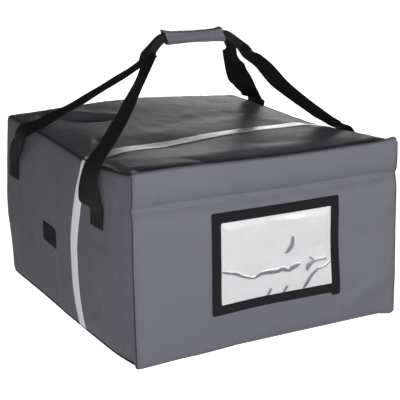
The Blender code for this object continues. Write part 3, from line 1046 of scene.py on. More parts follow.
def new_material(name: str) -> tuple[bpy.types.Material, NodeTree, bpy.types.Node]:
    """Starts a material.

    Args:
        name: The material's name.

    Returns:
        The material, its node tree and its Principled BSDF.
    """
    made = bpy.data.materials.new(name)
    made.use_nodes = True
    return made, NodeTree(made.node_tree), made.node_tree.nodes["Principled BSDF"]


@dataclass(frozen=True)
class Dresses:
    """All materials of the bag."""

    cloth: bpy.types.Material
    webbing: bpy.types.Material
    binding: bpy.types.Material
    tape: bpy.types.Material
    badge: bpy.types.Material
    white_glare_sheet: bpy.types.Material
    film: bpy.types.Material
    grey_thread: bpy.types.Material
    black_thread_and_shade: bpy.types.Material

    @classmethod
    def build(cls) -> "Dresses":
        """Builds every finish once."""
        effects = Effects()
        finishes = {
            "cloth": WovenFinish("grey_bag_cloth", (0.078, 0.078, 0.096), 0.56, threads=1900.0),
            "webbing": WebbingFinish("black_webbing", (0.010, 0.010, 0.011), 0.68, specular=0.15),
            "binding": WebbingFinish(
                "black_binding",
                (0.009, 0.009, 0.011),
                0.75,
                rib=0.0011,
                cord=0.0014,
                rib_height=0.00022,
                specular=0.08,
            ),
            "tape": TapeFinish("reflective_tape", (0.68, 0.68, 0.70), 0.34),
            "badge": WovenFinish(
                "black_badge", (0.010, 0.010, 0.012), 0.70, threads=2400.0, sheen=0.0, specular=0.08
            ),
            # The white insert is a painted reflection: it stands in for the glare on the film.
            "white_glare_sheet": WovenFinish(
                "white_insert", (0.62, 0.62, 0.63), 0.62, threads=3000.0, sheen=0.0, spread=0.03
            ),
            # The film's pale colour is partly painted glare; its mark colour paints the dark reflections
            # along the crinkles.
            "film": FilmFinish(
                "clear_film", (0.54, 0.54, 0.55), 0.34, mark=(0.09, 0.09, 0.10), clearness=0.40
            ),
            "grey_thread": WovenFinish(
                "grey_thread", (0.22, 0.22, 0.25), 0.5, threads=4000.0, sheen=0.1, spread=0.2
            ),
            # Black thread for the stitches; also the black of the cords and rods that are painted shade.
            "black_thread_and_shade": WovenFinish(
                "black_thread_and_shade", (0.012, 0.012, 0.013), 0.6, threads=4000.0, sheen=0.0, spread=0.15
            ),
        }
        return cls(**{use: finish.build(effects) for use, finish in finishes.items()})


@dataclass(frozen=True)
class Thread:
    """A sewing thread and the stitch it makes."""

    length: float = 0.0034
    pitch: float = 0.0046
    radius: float = 0.00038
    stand: float = 0.25
    flatness: float = 0.8

    def sew(self, mesh: BMesh, path: Sequence[Vector], surface: BVHTree) -> None:
        """Adds a row of stitches along a path, laid on a surface.

        Args:
            mesh: The mesh that takes the stitches.
            path: The row's way.
            surface: What the stitches lie on.
        """
        for start, end in self.ends(path):
            first, out, _, _ = surface.find_nearest(start)
            second = surface.find_nearest(end)[0]
            run = (second - first).normalized()
            side = out.cross(run).normalized()
            turn = Matrix((run, side, run.cross(side))).transposed().to_4x4()
            middle = (first + second) / 2 + out * self.radius * self.stand
            shape = Matrix.Diagonal((self.length / 2, self.radius, self.radius * self.flatness, 1))
            bmesh.ops.create_uvsphere(
                mesh,
                u_segments=6,
                v_segments=4,
                radius=1.0,
                matrix=Matrix.Translation(middle) @ turn @ shape @ Matrix.Rotation(math.pi / 2, 4, "Y"),
            )

    def ends(self, path: Sequence[Vector]) -> list[tuple[Vector, Vector]]:
        """Both ends of each stitch along a path."""
        found = []
        gone = 0.0
        due = self.pitch / 2
        for start, end in zip(path, path[1:]):
            span = (end - start).length
            while span > 0 and due < gone + span:
                middle = start.lerp(end, (due - gone) / span)
                half = (end - start).normalized() * self.length / 2
                found.append((middle - half, middle + half))
                due += self.pitch
            gone += span
        return found


STRIPE_THREAD = Thread()
BADGE_THREAD = Thread(length=0.0026, pitch=0.0034, radius=0.00035)
WINDOW_THREAD = Thread(length=0.0026, pitch=0.0036, radius=0.00034)
STRAP_THREAD = Thread(length=0.0028, pitch=0.0038, radius=0.00045)
GRIP_THREAD = Thread(length=0.0024, pitch=0.0034, radius=0.00035)


def line(start: Vector, end: Vector, step: float = 0.01) -> list[Vector]:
    """Points along a straight line."""
    count = max(1, math.ceil((end - start).length / step))
    return [start.lerp(end, index / count) for index in range(count + 1)]


def bent_rod(path: Sequence[Vector], radius: float, corners: int = 8) -> BMesh:
    """Makes a thin round rod along a path.

    Args:
        path: Its way, with points close together.
        radius: Its radius.
        corners: Faces round it.

    Returns:
        The rod's mesh.
    """
    count = len(path) - 1
    mesh = bmesh.new()
    bmesh.ops.create_cone(
        mesh,
        cap_ends=True,
        segments=corners,
        radius1=radius,
        radius2=radius,
        depth=count,
        matrix=Matrix.Translation((0, 0, count / 2)),
    )
    cut_grid(mesh, 2, list(range(1, count)))

    def along(point: Vector) -> Vector:
        """Where a point of the straight rod lies."""
        index = min(max(round(point.z), 0), count)
        run = (path[min(index + 1, count)] - path[max(index - 1, 0)]).normalized()
        upright = abs(run.z) > 0.9
        side = (run.orthogonal() if upright else run.cross(Vector((0, 0, 1)))).normalized()
        return path[index] + side * point.x + run.cross(side) * point.y

    move_verts(mesh, along)
    bmesh.ops.recalc_face_normals(mesh, faces=mesh.faces[:])
    return mesh


SWELLING = {
    "quality": 6,
    "mass": 0.25,
    "tension_stiffness": 25,
    "compression_stiffness": 20,
    "shear_stiffness": 8,
    "bending_stiffness": 1.2,
    "air_damping": 3,
    "vertex_group_mass": "held",
    "use_pressure": True,
    "uniform_pressure_force": 4.0,
    "shrink_min": -0.010,
}


@dataclass
class PaddedBody:
    """The padded panels with the stripe, the badge and the seams on them."""

    form: BagForm
    dresses: Dresses
    shift: Vector
    grid: float = 0.0064
    seam_shade_spread: float = 0.005
    rim_hold: float = 0.006
    seam_room: float = 0.003
    seam_hold: float = 0.008
    panel_inset: float = CLEAR * 0.6
    swell_cap: float = 0.0045
    swell_frames: int = 20
    stripe_thickness: float = 0.0007
    stripe_end: float = 0.012
    stripe_hem: float = 0.0022
    badge_length: float = 0.076
    badge_height: float = 0.037
    badge_thickness: float = 0.0012
    badge_from_back: float = 0.240
    badge_middle: float = 0.139
    badge_hem: float = 0.003
    # Black cords along the seams, painted shade for the dark line in them.
    seam_shade_radius: float = 0.0013
    seam_shade_stand: float = 0.55
    seam_shade_step: float = 0.006
    feet: tuple[Spot, ...] = ((-0.560, 0.675), (0.825, 0.675))
    foot_room: Spot = (0.036, 0.024)
    foot_fade: float = 0.02
    skin: BMesh = field(init=False)
    tree: BVHTree = field(init=False)

    def build(self) -> None:
        """Builds and dresses every piece of the body."""
        self.skin = self.make_skin()
        self.swell()
        keep_normals(self.skin)
        self.tree = BVHTree.FromBMesh(self.skin)
        self.build_panels()
        self.build_stripe()
        self.build_badge()
        self.build_seam_shade_cords()

    def badge_patch(self) -> Patch:
        """The badge's place along and up the left side."""
        middle = self.form.half_depth - self.badge_from_back
        return Patch(
            middle - self.badge_length / 2,
            middle + self.badge_length / 2,
            self.badge_middle - self.badge_height / 2,
            self.badge_middle + self.badge_height / 2,
        )

    def panel_of(self, middle: Vector) -> Panel:
        """The panel that a point of the rounded box belongs to: the one it stands out to most."""
        form = self.form
        reaches = {
            Panel.LEFT: -middle.x - (form.half_width - form.edge_round),
            Panel.RIGHT: middle.x - (form.half_width - form.edge_round),
            Panel.BACK: middle.y - (form.half_depth - form.edge_round),
            Panel.LID: middle.z - (form.height - form.edge_round),
            Panel.BOTTOM: form.edge_round - middle.z,
        }
        return max(reaches, key=reaches.get)

    def seam_distance(self, point: Vector) -> float:
        """Distance of a point of the box from the nearest seam between two panels."""
        form = self.form
        gaps = sorted(
            (
                form.half_width - abs(point.x),
                form.half_depth - point.y,
                form.height - point.z,
                point.z,
            )
        )
        return gaps[1]

    def foot_hold(self, point: Vector) -> float:
        """How firmly a strap's sewn end holds the cloth at a point, from 0 to 1."""
        form = self.form
        if abs(point.x) < form.half_width - 0.002:
            return 0.0
        hold = 0.0
        for along, up in self.feet:
            past_y = abs(point.y - along * form.half_depth) - self.foot_room[0]
            past_z = abs(point.z - up * form.height) - self.foot_room[1]
            hold = max(hold, ease(1 - max(past_y, past_z) / self.foot_fade))
        return hold

    def make_skin(self) -> BMesh:
        """Makes the body's skin, open at the mouth, with its folds, panels and trims marked.

        Returns:
            The skin in its soft shape.
        """
        form = self.form
        size = (form.width, form.depth, form.height)
        mesh = rounded_slab(size, Vector((0, 0, form.height / 2)), form.edge_round, 4)
        across = form.half_width - form.edge_round
        badge = self.badge_patch()
        back = form.half_depth - form.edge_round
        along = (form.mouth, form.stripe_front, form.stripe_back, badge.left, badge.right, back)
        up = (form.edge_round, badge.low, badge.high, form.height - form.edge_round)
        cut_grid(mesh, 0, stops_between((-across, across), self.grid)[1:-1])
        cut_grid(mesh, 1, stops_between(along, self.grid)[:-1])
        cut_grid(mesh, 2, stops_between(up, self.grid)[1:-1])
        ahead = [face for face in mesh.faces if face.calc_center_median().y < form.mouth]
        bmesh.ops.delete(mesh, geom=ahead, context="FACES")
        mark = mesh.faces.layers.string.new("panel")
        trim = mesh.faces.layers.string.new("trim")
        trimmed = (Panel.LEFT, Panel.RIGHT, Panel.LID)
        for face in mesh.faces:
            middle = face.calc_center_median()
            panel = self.panel_of(middle)
            face[mark] = panel.value.encode()
            if panel in trimmed and form.stripe_front < middle.y < form.stripe_back:
                face[trim] = b"stripe"
            if panel is Panel.LEFT and badge.holds(middle.y, middle.z):
                face[trim] = b"badge"

        def spot(face: BMFace, point: Vector) -> Spot:
            """The cloth coordinates of a corner."""
            panel = face[mark].decode()
            if panel in (Panel.LEFT.value, Panel.RIGHT.value):
                return (point.y, point.z)
            if panel == Panel.BACK.value:
                return (point.x, point.z)
            return (point.x, point.y)

        map_cloth(mesh, spot)
        # The seam attribute marks where painted shade darkens the cloth near the seams.
        seam = mesh.verts.layers.float.new("seam")
        hold = mesh.verts.layers.float.new("hold")
        for vert in mesh.verts:
            gap = self.seam_distance(vert.co)
            vert[seam] = bell(gap, self.seam_shade_spread)
            on_ground = ease(1 - vert.co.z / self.rim_hold)
            at_mouth = ease(1 - (vert.co.y - form.mouth) / self.rim_hold)
            at_seam = ease(1 - (gap - self.seam_room) / self.seam_hold)
            vert[hold] = max(at_seam, on_ground, at_mouth, self.foot_hold(vert.co))

        def place(point: Vector) -> Vector:
            """The soft place of a point, with its folds."""
            return form.slump(point) + form.folded(point) * (1 - self.foot_hold(point))

        move_verts(mesh, place)
        return mesh

    def swell(self) -> None:
        """Lets the cloth swell and pucker between its held seams, and keeps the capped result."""
        hold = self.skin.verts.layers.float["hold"]
        data = bpy.data.meshes.new("swelling")
        self.skin.to_mesh(data)
        soft = bpy.data.objects.new("swelling", data)
        scene = bpy.context.scene
        scene.collection.objects.link(soft)
        group = soft.vertex_groups.new(name="held")
        for index, vert in enumerate(self.skin.verts):
            if vert[hold] > 0.01:
                group.add([index], vert[hold], "REPLACE")
        cloth = soft.modifiers.new("swell", "CLOTH")
        for setting, value in SWELLING.items():
            setattr(cloth.settings, setting, value)
        cloth.settings.effector_weights.gravity = 0
        cloth.point_cache.frame_start = 1
        cloth.point_cache.frame_end = self.swell_frames
        for step in range(1, self.swell_frames + 1):
            scene.frame_set(step)
        swollen = soft.evaluated_get(bpy.context.evaluated_depsgraph_get()).to_mesh()
        moves = [swollen.vertices[i].co - data.vertices[i].co for i in range(len(data.vertices))]
        for vert, move in zip(self.skin.verts, moves):
            free = 1 - vert[hold]
            vert.co += move * (free * self.swell_cap / (self.swell_cap + move.length))
        widest = max(move.length for move in moves)
        bpy.data.objects.remove(soft)
        scene.frame_set(1)
        self.skin.normal_update()
        log.info("cloth swelled by up to %.1f mm before the cap", widest * 1000)

    def build_panels(self) -> None:
        """Builds the five panels, each a closed padded sheet."""
        form = self.form
        mark = self.skin.faces.layers.string["panel"]
        for panel in (Panel.LID, Panel.LEFT, Panel.RIGHT, Panel.BACK, Panel.BOTTOM):
            code = panel.value.encode()
            mesh = layer_over(self.skin, lambda face: face[mark] == code, -form.wall, 0.0, self.panel_inset)
            smooth = 0 if panel is Panel.BOTTOM else 1
            piece = finished(f"padded_{panel.value}", mesh, self.dresses.cloth, self.shift, smooth)
            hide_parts(panel.value)

    def build_stripe(self) -> None:
        """Builds the reflective stripe and the stitches along its edges."""
        form = self.form
        trim = self.skin.faces.layers.string["trim"]
        top = form.clear + self.stripe_thickness
        mesh = layer_over(self.skin, lambda face: face[trim] == b"stripe", form.clear, top, 0.0)
        surface = BVHTree.FromBMesh(mesh)
        piece = finished("stripe_tape", mesh, self.dresses.tape, self.shift, 1)
        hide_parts("reflective_stripe")
        stitches = bmesh.new()
        for along in (form.stripe_front + self.stripe_hem, form.stripe_back - self.stripe_hem):
            STRIPE_THREAD.sew(stitches, self.round_path(along), surface)
        finished("stripe_stitches", stitches, self.dresses.grey_thread, self.shift)

    def round_path(self, along: float) -> list[Vector]:
        """A way up the left side, over the lid and down the right side.

        Args:
            along: Its place along the bag.

        Returns:
            Points of the soft bag.
        """
        form = self.form
        x = form.half_width
        z = form.height
        low = self.stripe_end
        flat = line(Vector((-x, along, low)), Vector((-x, along, z)))
        flat += line(Vector((-x, along, z)), Vector((x, along, z)))[1:]
        flat += line(Vector((x, along, z)), Vector((x, along, low)))[1:]
        return [form.slump(point) for point in flat]

    def build_badge(self) -> None:
        """Builds the bare woven badge and the stitches round it."""
        form = self.form
        trim = self.skin.faces.layers.string["trim"]
        top = form.clear + self.badge_thickness
        mesh = layer_over(self.skin, lambda face: face[trim] == b"badge", form.clear, top, 0.0005)
        surface = BVHTree.FromBMesh(mesh)
        piece = finished("bare_badge", mesh, self.dresses.badge, self.shift, 1)
        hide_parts("side_badge")
        stitches = bmesh.new()
        for start, end in self.badge_patch().within(self.badge_hem).runs():
            flat = line(Vector((-form.half_width, *start)), Vector((-form.half_width, *end)))
            BADGE_THREAD.sew(stitches, [form.slump(point) for point in flat], surface)
        finished("badge_stitches", stitches, self.dresses.grey_thread, self.shift)

    def build_seam_shade_cords(self) -> None:
        """Builds black cords along the seams between the panels, painted shade for the dark line that falls
        in them.
        """
        form = self.form
        inner = form.edge_round * (1 - math.sqrt(0.5))
        x = form.half_width - inner
        y = form.half_depth - inner
        low = inner
        high = form.height - inner
        front = form.mouth + 0.002
        mouth = form.mouth
        ways = {
            "seam_left_top": ((-x, front, high), (-x, y, high)),
            "seam_right_top": ((x, front, high), (x, y, high)),
            "seam_back_top": ((-x, y, high), (x, y, high)),
            "seam_left_back": ((-x, y, low), (-x, y, high)),
            "seam_right_back": ((x, y, low), (x, y, high)),
            "seam_left_foot": ((-x, front, low), (-x, y, low)),
            "seam_right_foot": ((x, front, low), (x, y, low)),
            "seam_back_foot": ((-x, y, low), (x, y, low)),
            "seam_front_top": ((-x, mouth, form.height), (x, mouth, form.height)),
            "seam_left_mouth": ((-x, mouth, low), (-x, mouth, high)),
            "seam_right_mouth": ((x, mouth, low), (x, mouth, high)),
        }
        for name, (start, end) in ways.items():
            path = []
            for point in line(Vector(start), Vector(end), self.seam_shade_step):
                spot, out, _, _ = self.tree.find_nearest(form.slump(point) + form.folded(point))
                path.append(spot + out * self.seam_shade_radius * self.seam_shade_stand)
            piece = finished(name, bent_rod(path, self.seam_shade_radius), self.dresses.black_thread_and_shade, self.shift)


@dataclass
class FrontFlap:
    """The front flap with its clear pocket."""

    form: BagForm
    dresses: Dresses
    shift: Vector
    grid: float = 0.0062
    front_round: float = 0.0048
    back_round: float = 0.0010
    window_width: float = 0.247
    window_height: float = 0.174
    window_foot: float = 0.062
    window_shift: float = 0.006
    binding_width: float = 0.017
    binding_thickness: float = 0.0018
    tape_end: float = 0.0055
    # Black rods down the flap's sides, painted shade for the gap line beside it.
    edge_shade_inset: float = 0.0014
    edge_shade_end: float = 0.0050
    edge_shade_radius: float = 0.0011
    seam_shade_spread: float = 0.006
    sheet: float = 0.0005
    hem: float = 0.0022
    film_grid: float = 0.0014
    film_waves: tuple[float, float] = (26.0, 70.0)
    film_heights: tuple[float, float] = (0.0010, 0.0004)
    crease_room: float = 0.004
    glare_insert_grid: float = 0.008
    film_rim: float = 0.015
    mark_height: float = 0.0008
    mark_growth: float = 1.6
    mark_core: float = 0.0011
    mark_fade: float = 0.0012
    mark_steps: int = 4
    # Ways of the film's crinkles, where it lifts and painted dark reflections run.
    crinkles: tuple[tuple[Mark, ...], ...] = (
        (
            Mark(-0.098, 0.136, 0.0010),
            Mark(-0.076, 0.130, 0.0014),
            Mark(-0.060, 0.122, 0.0012),
            Mark(-0.041, 0.116, 0.0010),
            Mark(-0.028, 0.120, 0.0016),
            Mark(-0.018, 0.121, 0.0020),
            Mark(0.005, 0.120, 0.0021),
            Mark(0.015, 0.122, 0.0021),
            Mark(0.027, 0.118, 0.0016),
            Mark(0.037, 0.122, 0.0026),
            Mark(0.048, 0.125, 0.0010),
        ),
        (
            Mark(0.036, 0.176, 0.0010),
            Mark(0.035, 0.163, 0.0021),
            Mark(0.029, 0.155, 0.0021),
            Mark(0.023, 0.150, 0.0008),
        ),
        (
            Mark(0.100, 0.127, 0.0008),
            Mark(0.083, 0.127, 0.0011),
            Mark(0.073, 0.124, 0.0016),
            Mark(0.066, 0.119, 0.0024),
            Mark(0.064, 0.113, 0.0010),
        ),
        (Mark(0.070, 0.134, 0.0008), Mark(0.076, 0.129, 0.0008)),
        (Mark(0.109, 0.119, 0.0007), Mark(0.098, 0.113, 0.0007), Mark(0.085, 0.111, 0.0008)),
        (
            Mark(0.085, 0.111, 0.0010),
            Mark(0.071, 0.100, 0.0016),
            Mark(0.061, 0.086, 0.0017),
            Mark(0.057, 0.081, 0.0010),
        ),
        (Mark(0.024, 0.089, 0.0011), Mark(0.020, 0.083, 0.0014), Mark(0.017, 0.079, 0.0008)),
        (Mark(-0.007, 0.090, 0.0010), Mark(-0.012, 0.081, 0.0012), Mark(-0.015, 0.079, 0.0008)),
    )

    def build(self) -> None:
        """Builds and dresses the flap and its pocket."""
        skin = self.make_skin()
        use = skin.faces.layers.string["use"]
        keep_normals(skin)
        form = self.form
        high = form.clear + self.binding_thickness
        binding = layer_over(skin, lambda face: face[use] == b"bound", form.clear, high, 0.0)
        self.build_binding(binding)
        self.build_glare_insert()
        self.build_film()
        piece = finished("padded_flap", skin, self.dresses.cloth, self.shift, 1)
        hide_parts("front_flap")
        self.build_edge_shade_rods()

    def build_edge_shade_rods(self) -> None:
        """Builds thin black rods down the flap's two upright edges, painted shade for the dark gap line
        beside the flap.
        """
        form = self.form
        for side in Side:
            x = side.value * (form.half_width - self.edge_shade_inset)
            y = -form.half_depth + self.edge_shade_inset
            start = Vector((x, y, self.edge_shade_end))
            end = Vector((x, y, form.height - self.edge_shade_end))
            path = [form.hang(point) for point in line(start, end, 0.005)]
            # Each rod is painted shade down one side of the flap.
            name = f"edging_{side.name.lower()}"
            piece = finished(name, bent_rod(path, self.edge_shade_radius), self.dresses.black_thread_and_shade, self.shift)

    def window(self) -> Patch:
        """The window's place across and up the flap."""
        return Patch(
            self.window_shift - self.window_width / 2,
            self.window_shift + self.window_width / 2,
            self.window_foot,
            self.window_foot + self.window_height,
        )

    def clear_part(self) -> Patch:
        """The part of the window that its binding leaves clear."""
        return self.window().within(self.binding_width)

    def make_skin(self) -> BMesh:
        """Makes the flap's slab in its hanging shape, with the pocket's places marked.

        Returns:
            The slab.
        """
        form = self.form
        middle = Vector((0, -form.half_depth + form.flap_thickness / 2, form.height / 2))
        mesh = plain_slab((form.width, form.flap_thickness, form.height), middle)
        for end, rounding, segments in ((-1, self.front_round, 4), (1, self.back_round, 2)):
            level = middle.y + end * form.flap_thickness / 2
            rim = [
                edge
                for edge in mesh.edges
                if all(abs(vert.co.y - level) < SAME_PLACE for vert in edge.verts)
            ]
            round_edges(mesh, rim, rounding, segments)
        window = self.window()
        clear = self.clear_part()
        tape_foot = window.low - self.tape_end
        crease = form.height - form.crease_drop
        side = form.half_width - self.front_round
        across = (-side, window.left, clear.left, clear.right, window.right, side)
        up = (
            self.front_round,
            tape_foot,
            window.low,
            clear.low,
            clear.high,
            window.high,
            crease - self.crease_room,
            crease,
            crease + self.crease_room,
            form.height - self.front_round,
        )
        cut_grid(mesh, 0, stops_between(across, self.grid)[1:-1])
        cut_grid(mesh, 2, stops_between(up, self.grid)[1:-1])
        use = mesh.faces.layers.string.new("use")
        seam = mesh.verts.layers.float.new("seam")
        for face in mesh.faces:
            spot = face.calc_center_median()
            bound = window.holds(spot.x, spot.z) and not clear.holds(spot.x, spot.z)
            tape = clear.right < spot.x < window.right and tape_foot < spot.z < window.low
            if face.normal.y < -0.99 and (bound or tape):
                face[use] = b"bound"
        # The seam attribute marks where painted shade darkens the flap near its sides and foot.
        for vert in mesh.verts:
            edge = min(form.half_width - abs(vert.co.x), vert.co.z)
            vert[seam] = bell(edge, self.seam_shade_spread)
        map_cloth(mesh, lambda face, point: (point.x, point.z))
        move_verts(mesh, form.hang)
        return mesh

    def build_binding(self, mesh: BMesh) -> None:
        """Builds the binding and its two rows of stitches.

        Args:
            mesh: The binding's mesh.
        """
        surface = BVHTree.FromBMesh(mesh)
        piece = finished("window_border", mesh, self.dresses.binding, self.shift, 1)
        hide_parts("window_binding")
        stitches = bmesh.new()
        for inset in (self.hem, self.binding_width - self.hem):
            for path in self.frame_paths(inset):
                WINDOW_THREAD.sew(stitches, path, surface)
        finished("window_stitches", stitches, self.dresses.black_thread_and_shade, self.shift)

    def frame_paths(self, inset: float) -> list[list[Vector]]:
        """The four straight ways round the window.

        Args:
            inset: How far they stay inside its outer edge.

        Returns:
            Points of the hanging flap, by side.
        """
        front = -self.form.half_depth
        paths = []
        for start, end in self.window().within(inset).runs():
            flat = line(Vector((start[0], front, start[1])), Vector((end[0], front, end[1])))
            paths.append([self.form.hang(point) for point in flat])
        return paths

    def pocket_sheet(self, low: float, high: float, step: float, crinkled: bool) -> BMesh:
        """Makes one of the two thin sheets in the window.

        Args:
            low: Height of its underside over the flap.
            high: Height of its front.
            step: Its grid.
            crinkled: Whether it waves and has the film's crinkles with their painted dark reflections.

        Returns:
            The sheet's mesh.
        """
        form = self.form
        clear = self.clear_part()
        inner = clear.within(form.clear)
        spare = 2 * form.clear
        size = (clear.right - clear.left - spare, high - low, clear.high - clear.low - spare)
        middle = Vector(
            (
                (clear.left + clear.right) / 2,
                -form.half_depth - (low + high) / 2,
                (clear.low + clear.high) / 2,
            )
        )
        mesh = plain_slab(size, middle)
        cut_grid(mesh, 0, stops_between((inner.left, inner.right), step)[1:-1])
        cut_grid(mesh, 2, stops_between((inner.low, inner.high), step)[1:-1])
        map_cloth(mesh, lambda face, point: (point.x, point.z))
        mark = mesh.verts.layers.float.new("crinkle_and_reflection")
        ways = [self.smooth_way(way) for way in self.crinkles] if crinkled else []
        # Mask of the painted dark reflections, which also lifts the film.
        for vert in mesh.verts:
            flat = vert.co.copy()
            vert[mark] = self.crinkle_and_reflection(flat, ways)
            out = -form.half_depth - flat.y
            if crinkled:
                out += self.film_rise(flat, vert[mark])
            vert.co = form.hang(Vector((flat.x, -form.half_depth, flat.z))) - Vector((0, out, 0))
        mesh.normal_update()
        return mesh

    def film_rise(self, point: Vector, mark: float) -> float:
        """How far the film stands out: it waves a little and rises at its marks."""
        clear = self.clear_part()
        edge = min(point.x - clear.left, clear.right - point.x, point.z - clear.low, clear.high - point.z)
        broad, fine = (noise.noise(point * waves) for waves in self.film_waves)
        wave = self.film_heights[0] * (broad + 1.0) + self.film_heights[1] * fine
        return ease(edge / self.film_rim) * wave + self.mark_height * mark

    def smooth_way(self, way: Sequence[Mark]) -> list[Mark]:
        """Rounds the bends of one of the crinkles, along which a painted dark reflection runs.

        Args:
            way: Its marks.

        Returns:
            Closer marks along a smooth curve through them.
        """
        smooth = []
        for index, (start, end) in enumerate(zip(way, way[1:])):
            before = way[max(index - 1, 0)]
            after = way[min(index + 2, len(way) - 1)]
            for step in range(self.mark_steps):
                t = step / self.mark_steps
                values = []
                for a, b, c, d in zip(before, start, end, after):
                    square = (2 * a - 5 * b + 4 * c - d) * t**2
                    cube = (3 * b - a - 3 * c + d) * t**3
                    values.append(0.5 * (2 * b + (c - a) * t + square + cube))
                smooth.append(Mark(*values))
        return smooth + [way[-1]]

    def crinkle_and_reflection(self, point: Vector, ways: Sequence[Sequence[Mark]]) -> float:
        """How dark the film's painted dark reflection is at a place; the same share lifts the film.

        Args:
            point: The place.
            ways: The smooth ways of the crinkles.

        Returns:
            From 0, clear, to 1, dark.
        """
        mark = 0.0
        for way in ways:
            for start, end in zip(way, way[1:]):
                gap = to_segment((point.x, point.z), (start.across, start.up), (end.across, end.up))
                half = (start.half + end.half) / 2
                mark = max(mark, ease((self.mark_growth * half + self.mark_core - gap) / self.mark_fade))
        return mark

    def build_glare_insert(self) -> None:
        """Builds the white sheet behind the film, a painted reflection that stands in for the film's glare.
        """
        form = self.form
        mesh = self.pocket_sheet(form.clear, form.clear + self.sheet, self.glare_insert_grid, False)
        piece = finished("pocket_glare_insert", mesh, self.dresses.white_glare_sheet, self.shift)
        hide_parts("window_insert")
        self.declare()

    def build_film(self) -> None:
        """Builds the crinkled film."""
        low = 2 * self.form.clear + self.sheet
        mesh = self.pocket_sheet(low, low + self.sheet, self.film_grid, True)
        piece = finished("pocket_film", mesh, self.dresses.film, self.shift, sharp=60)
        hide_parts("window_film")
        self.declare()

    def declare(self) -> None:
        """Works out the window's clear part; nothing is done with it."""
        clear = self.clear_part()


@dataclass(frozen=True)
class StrapWay:
    """The stations of one strap: on each side from its sewn end to the edge, then up to the wrap."""

    name: str
    node: str
    left_foot: tuple[Station, ...]
    right_foot: tuple[Station, ...]
    left_rise: tuple[Station, ...]
    right_rise: tuple[Station, ...]
    apart: float


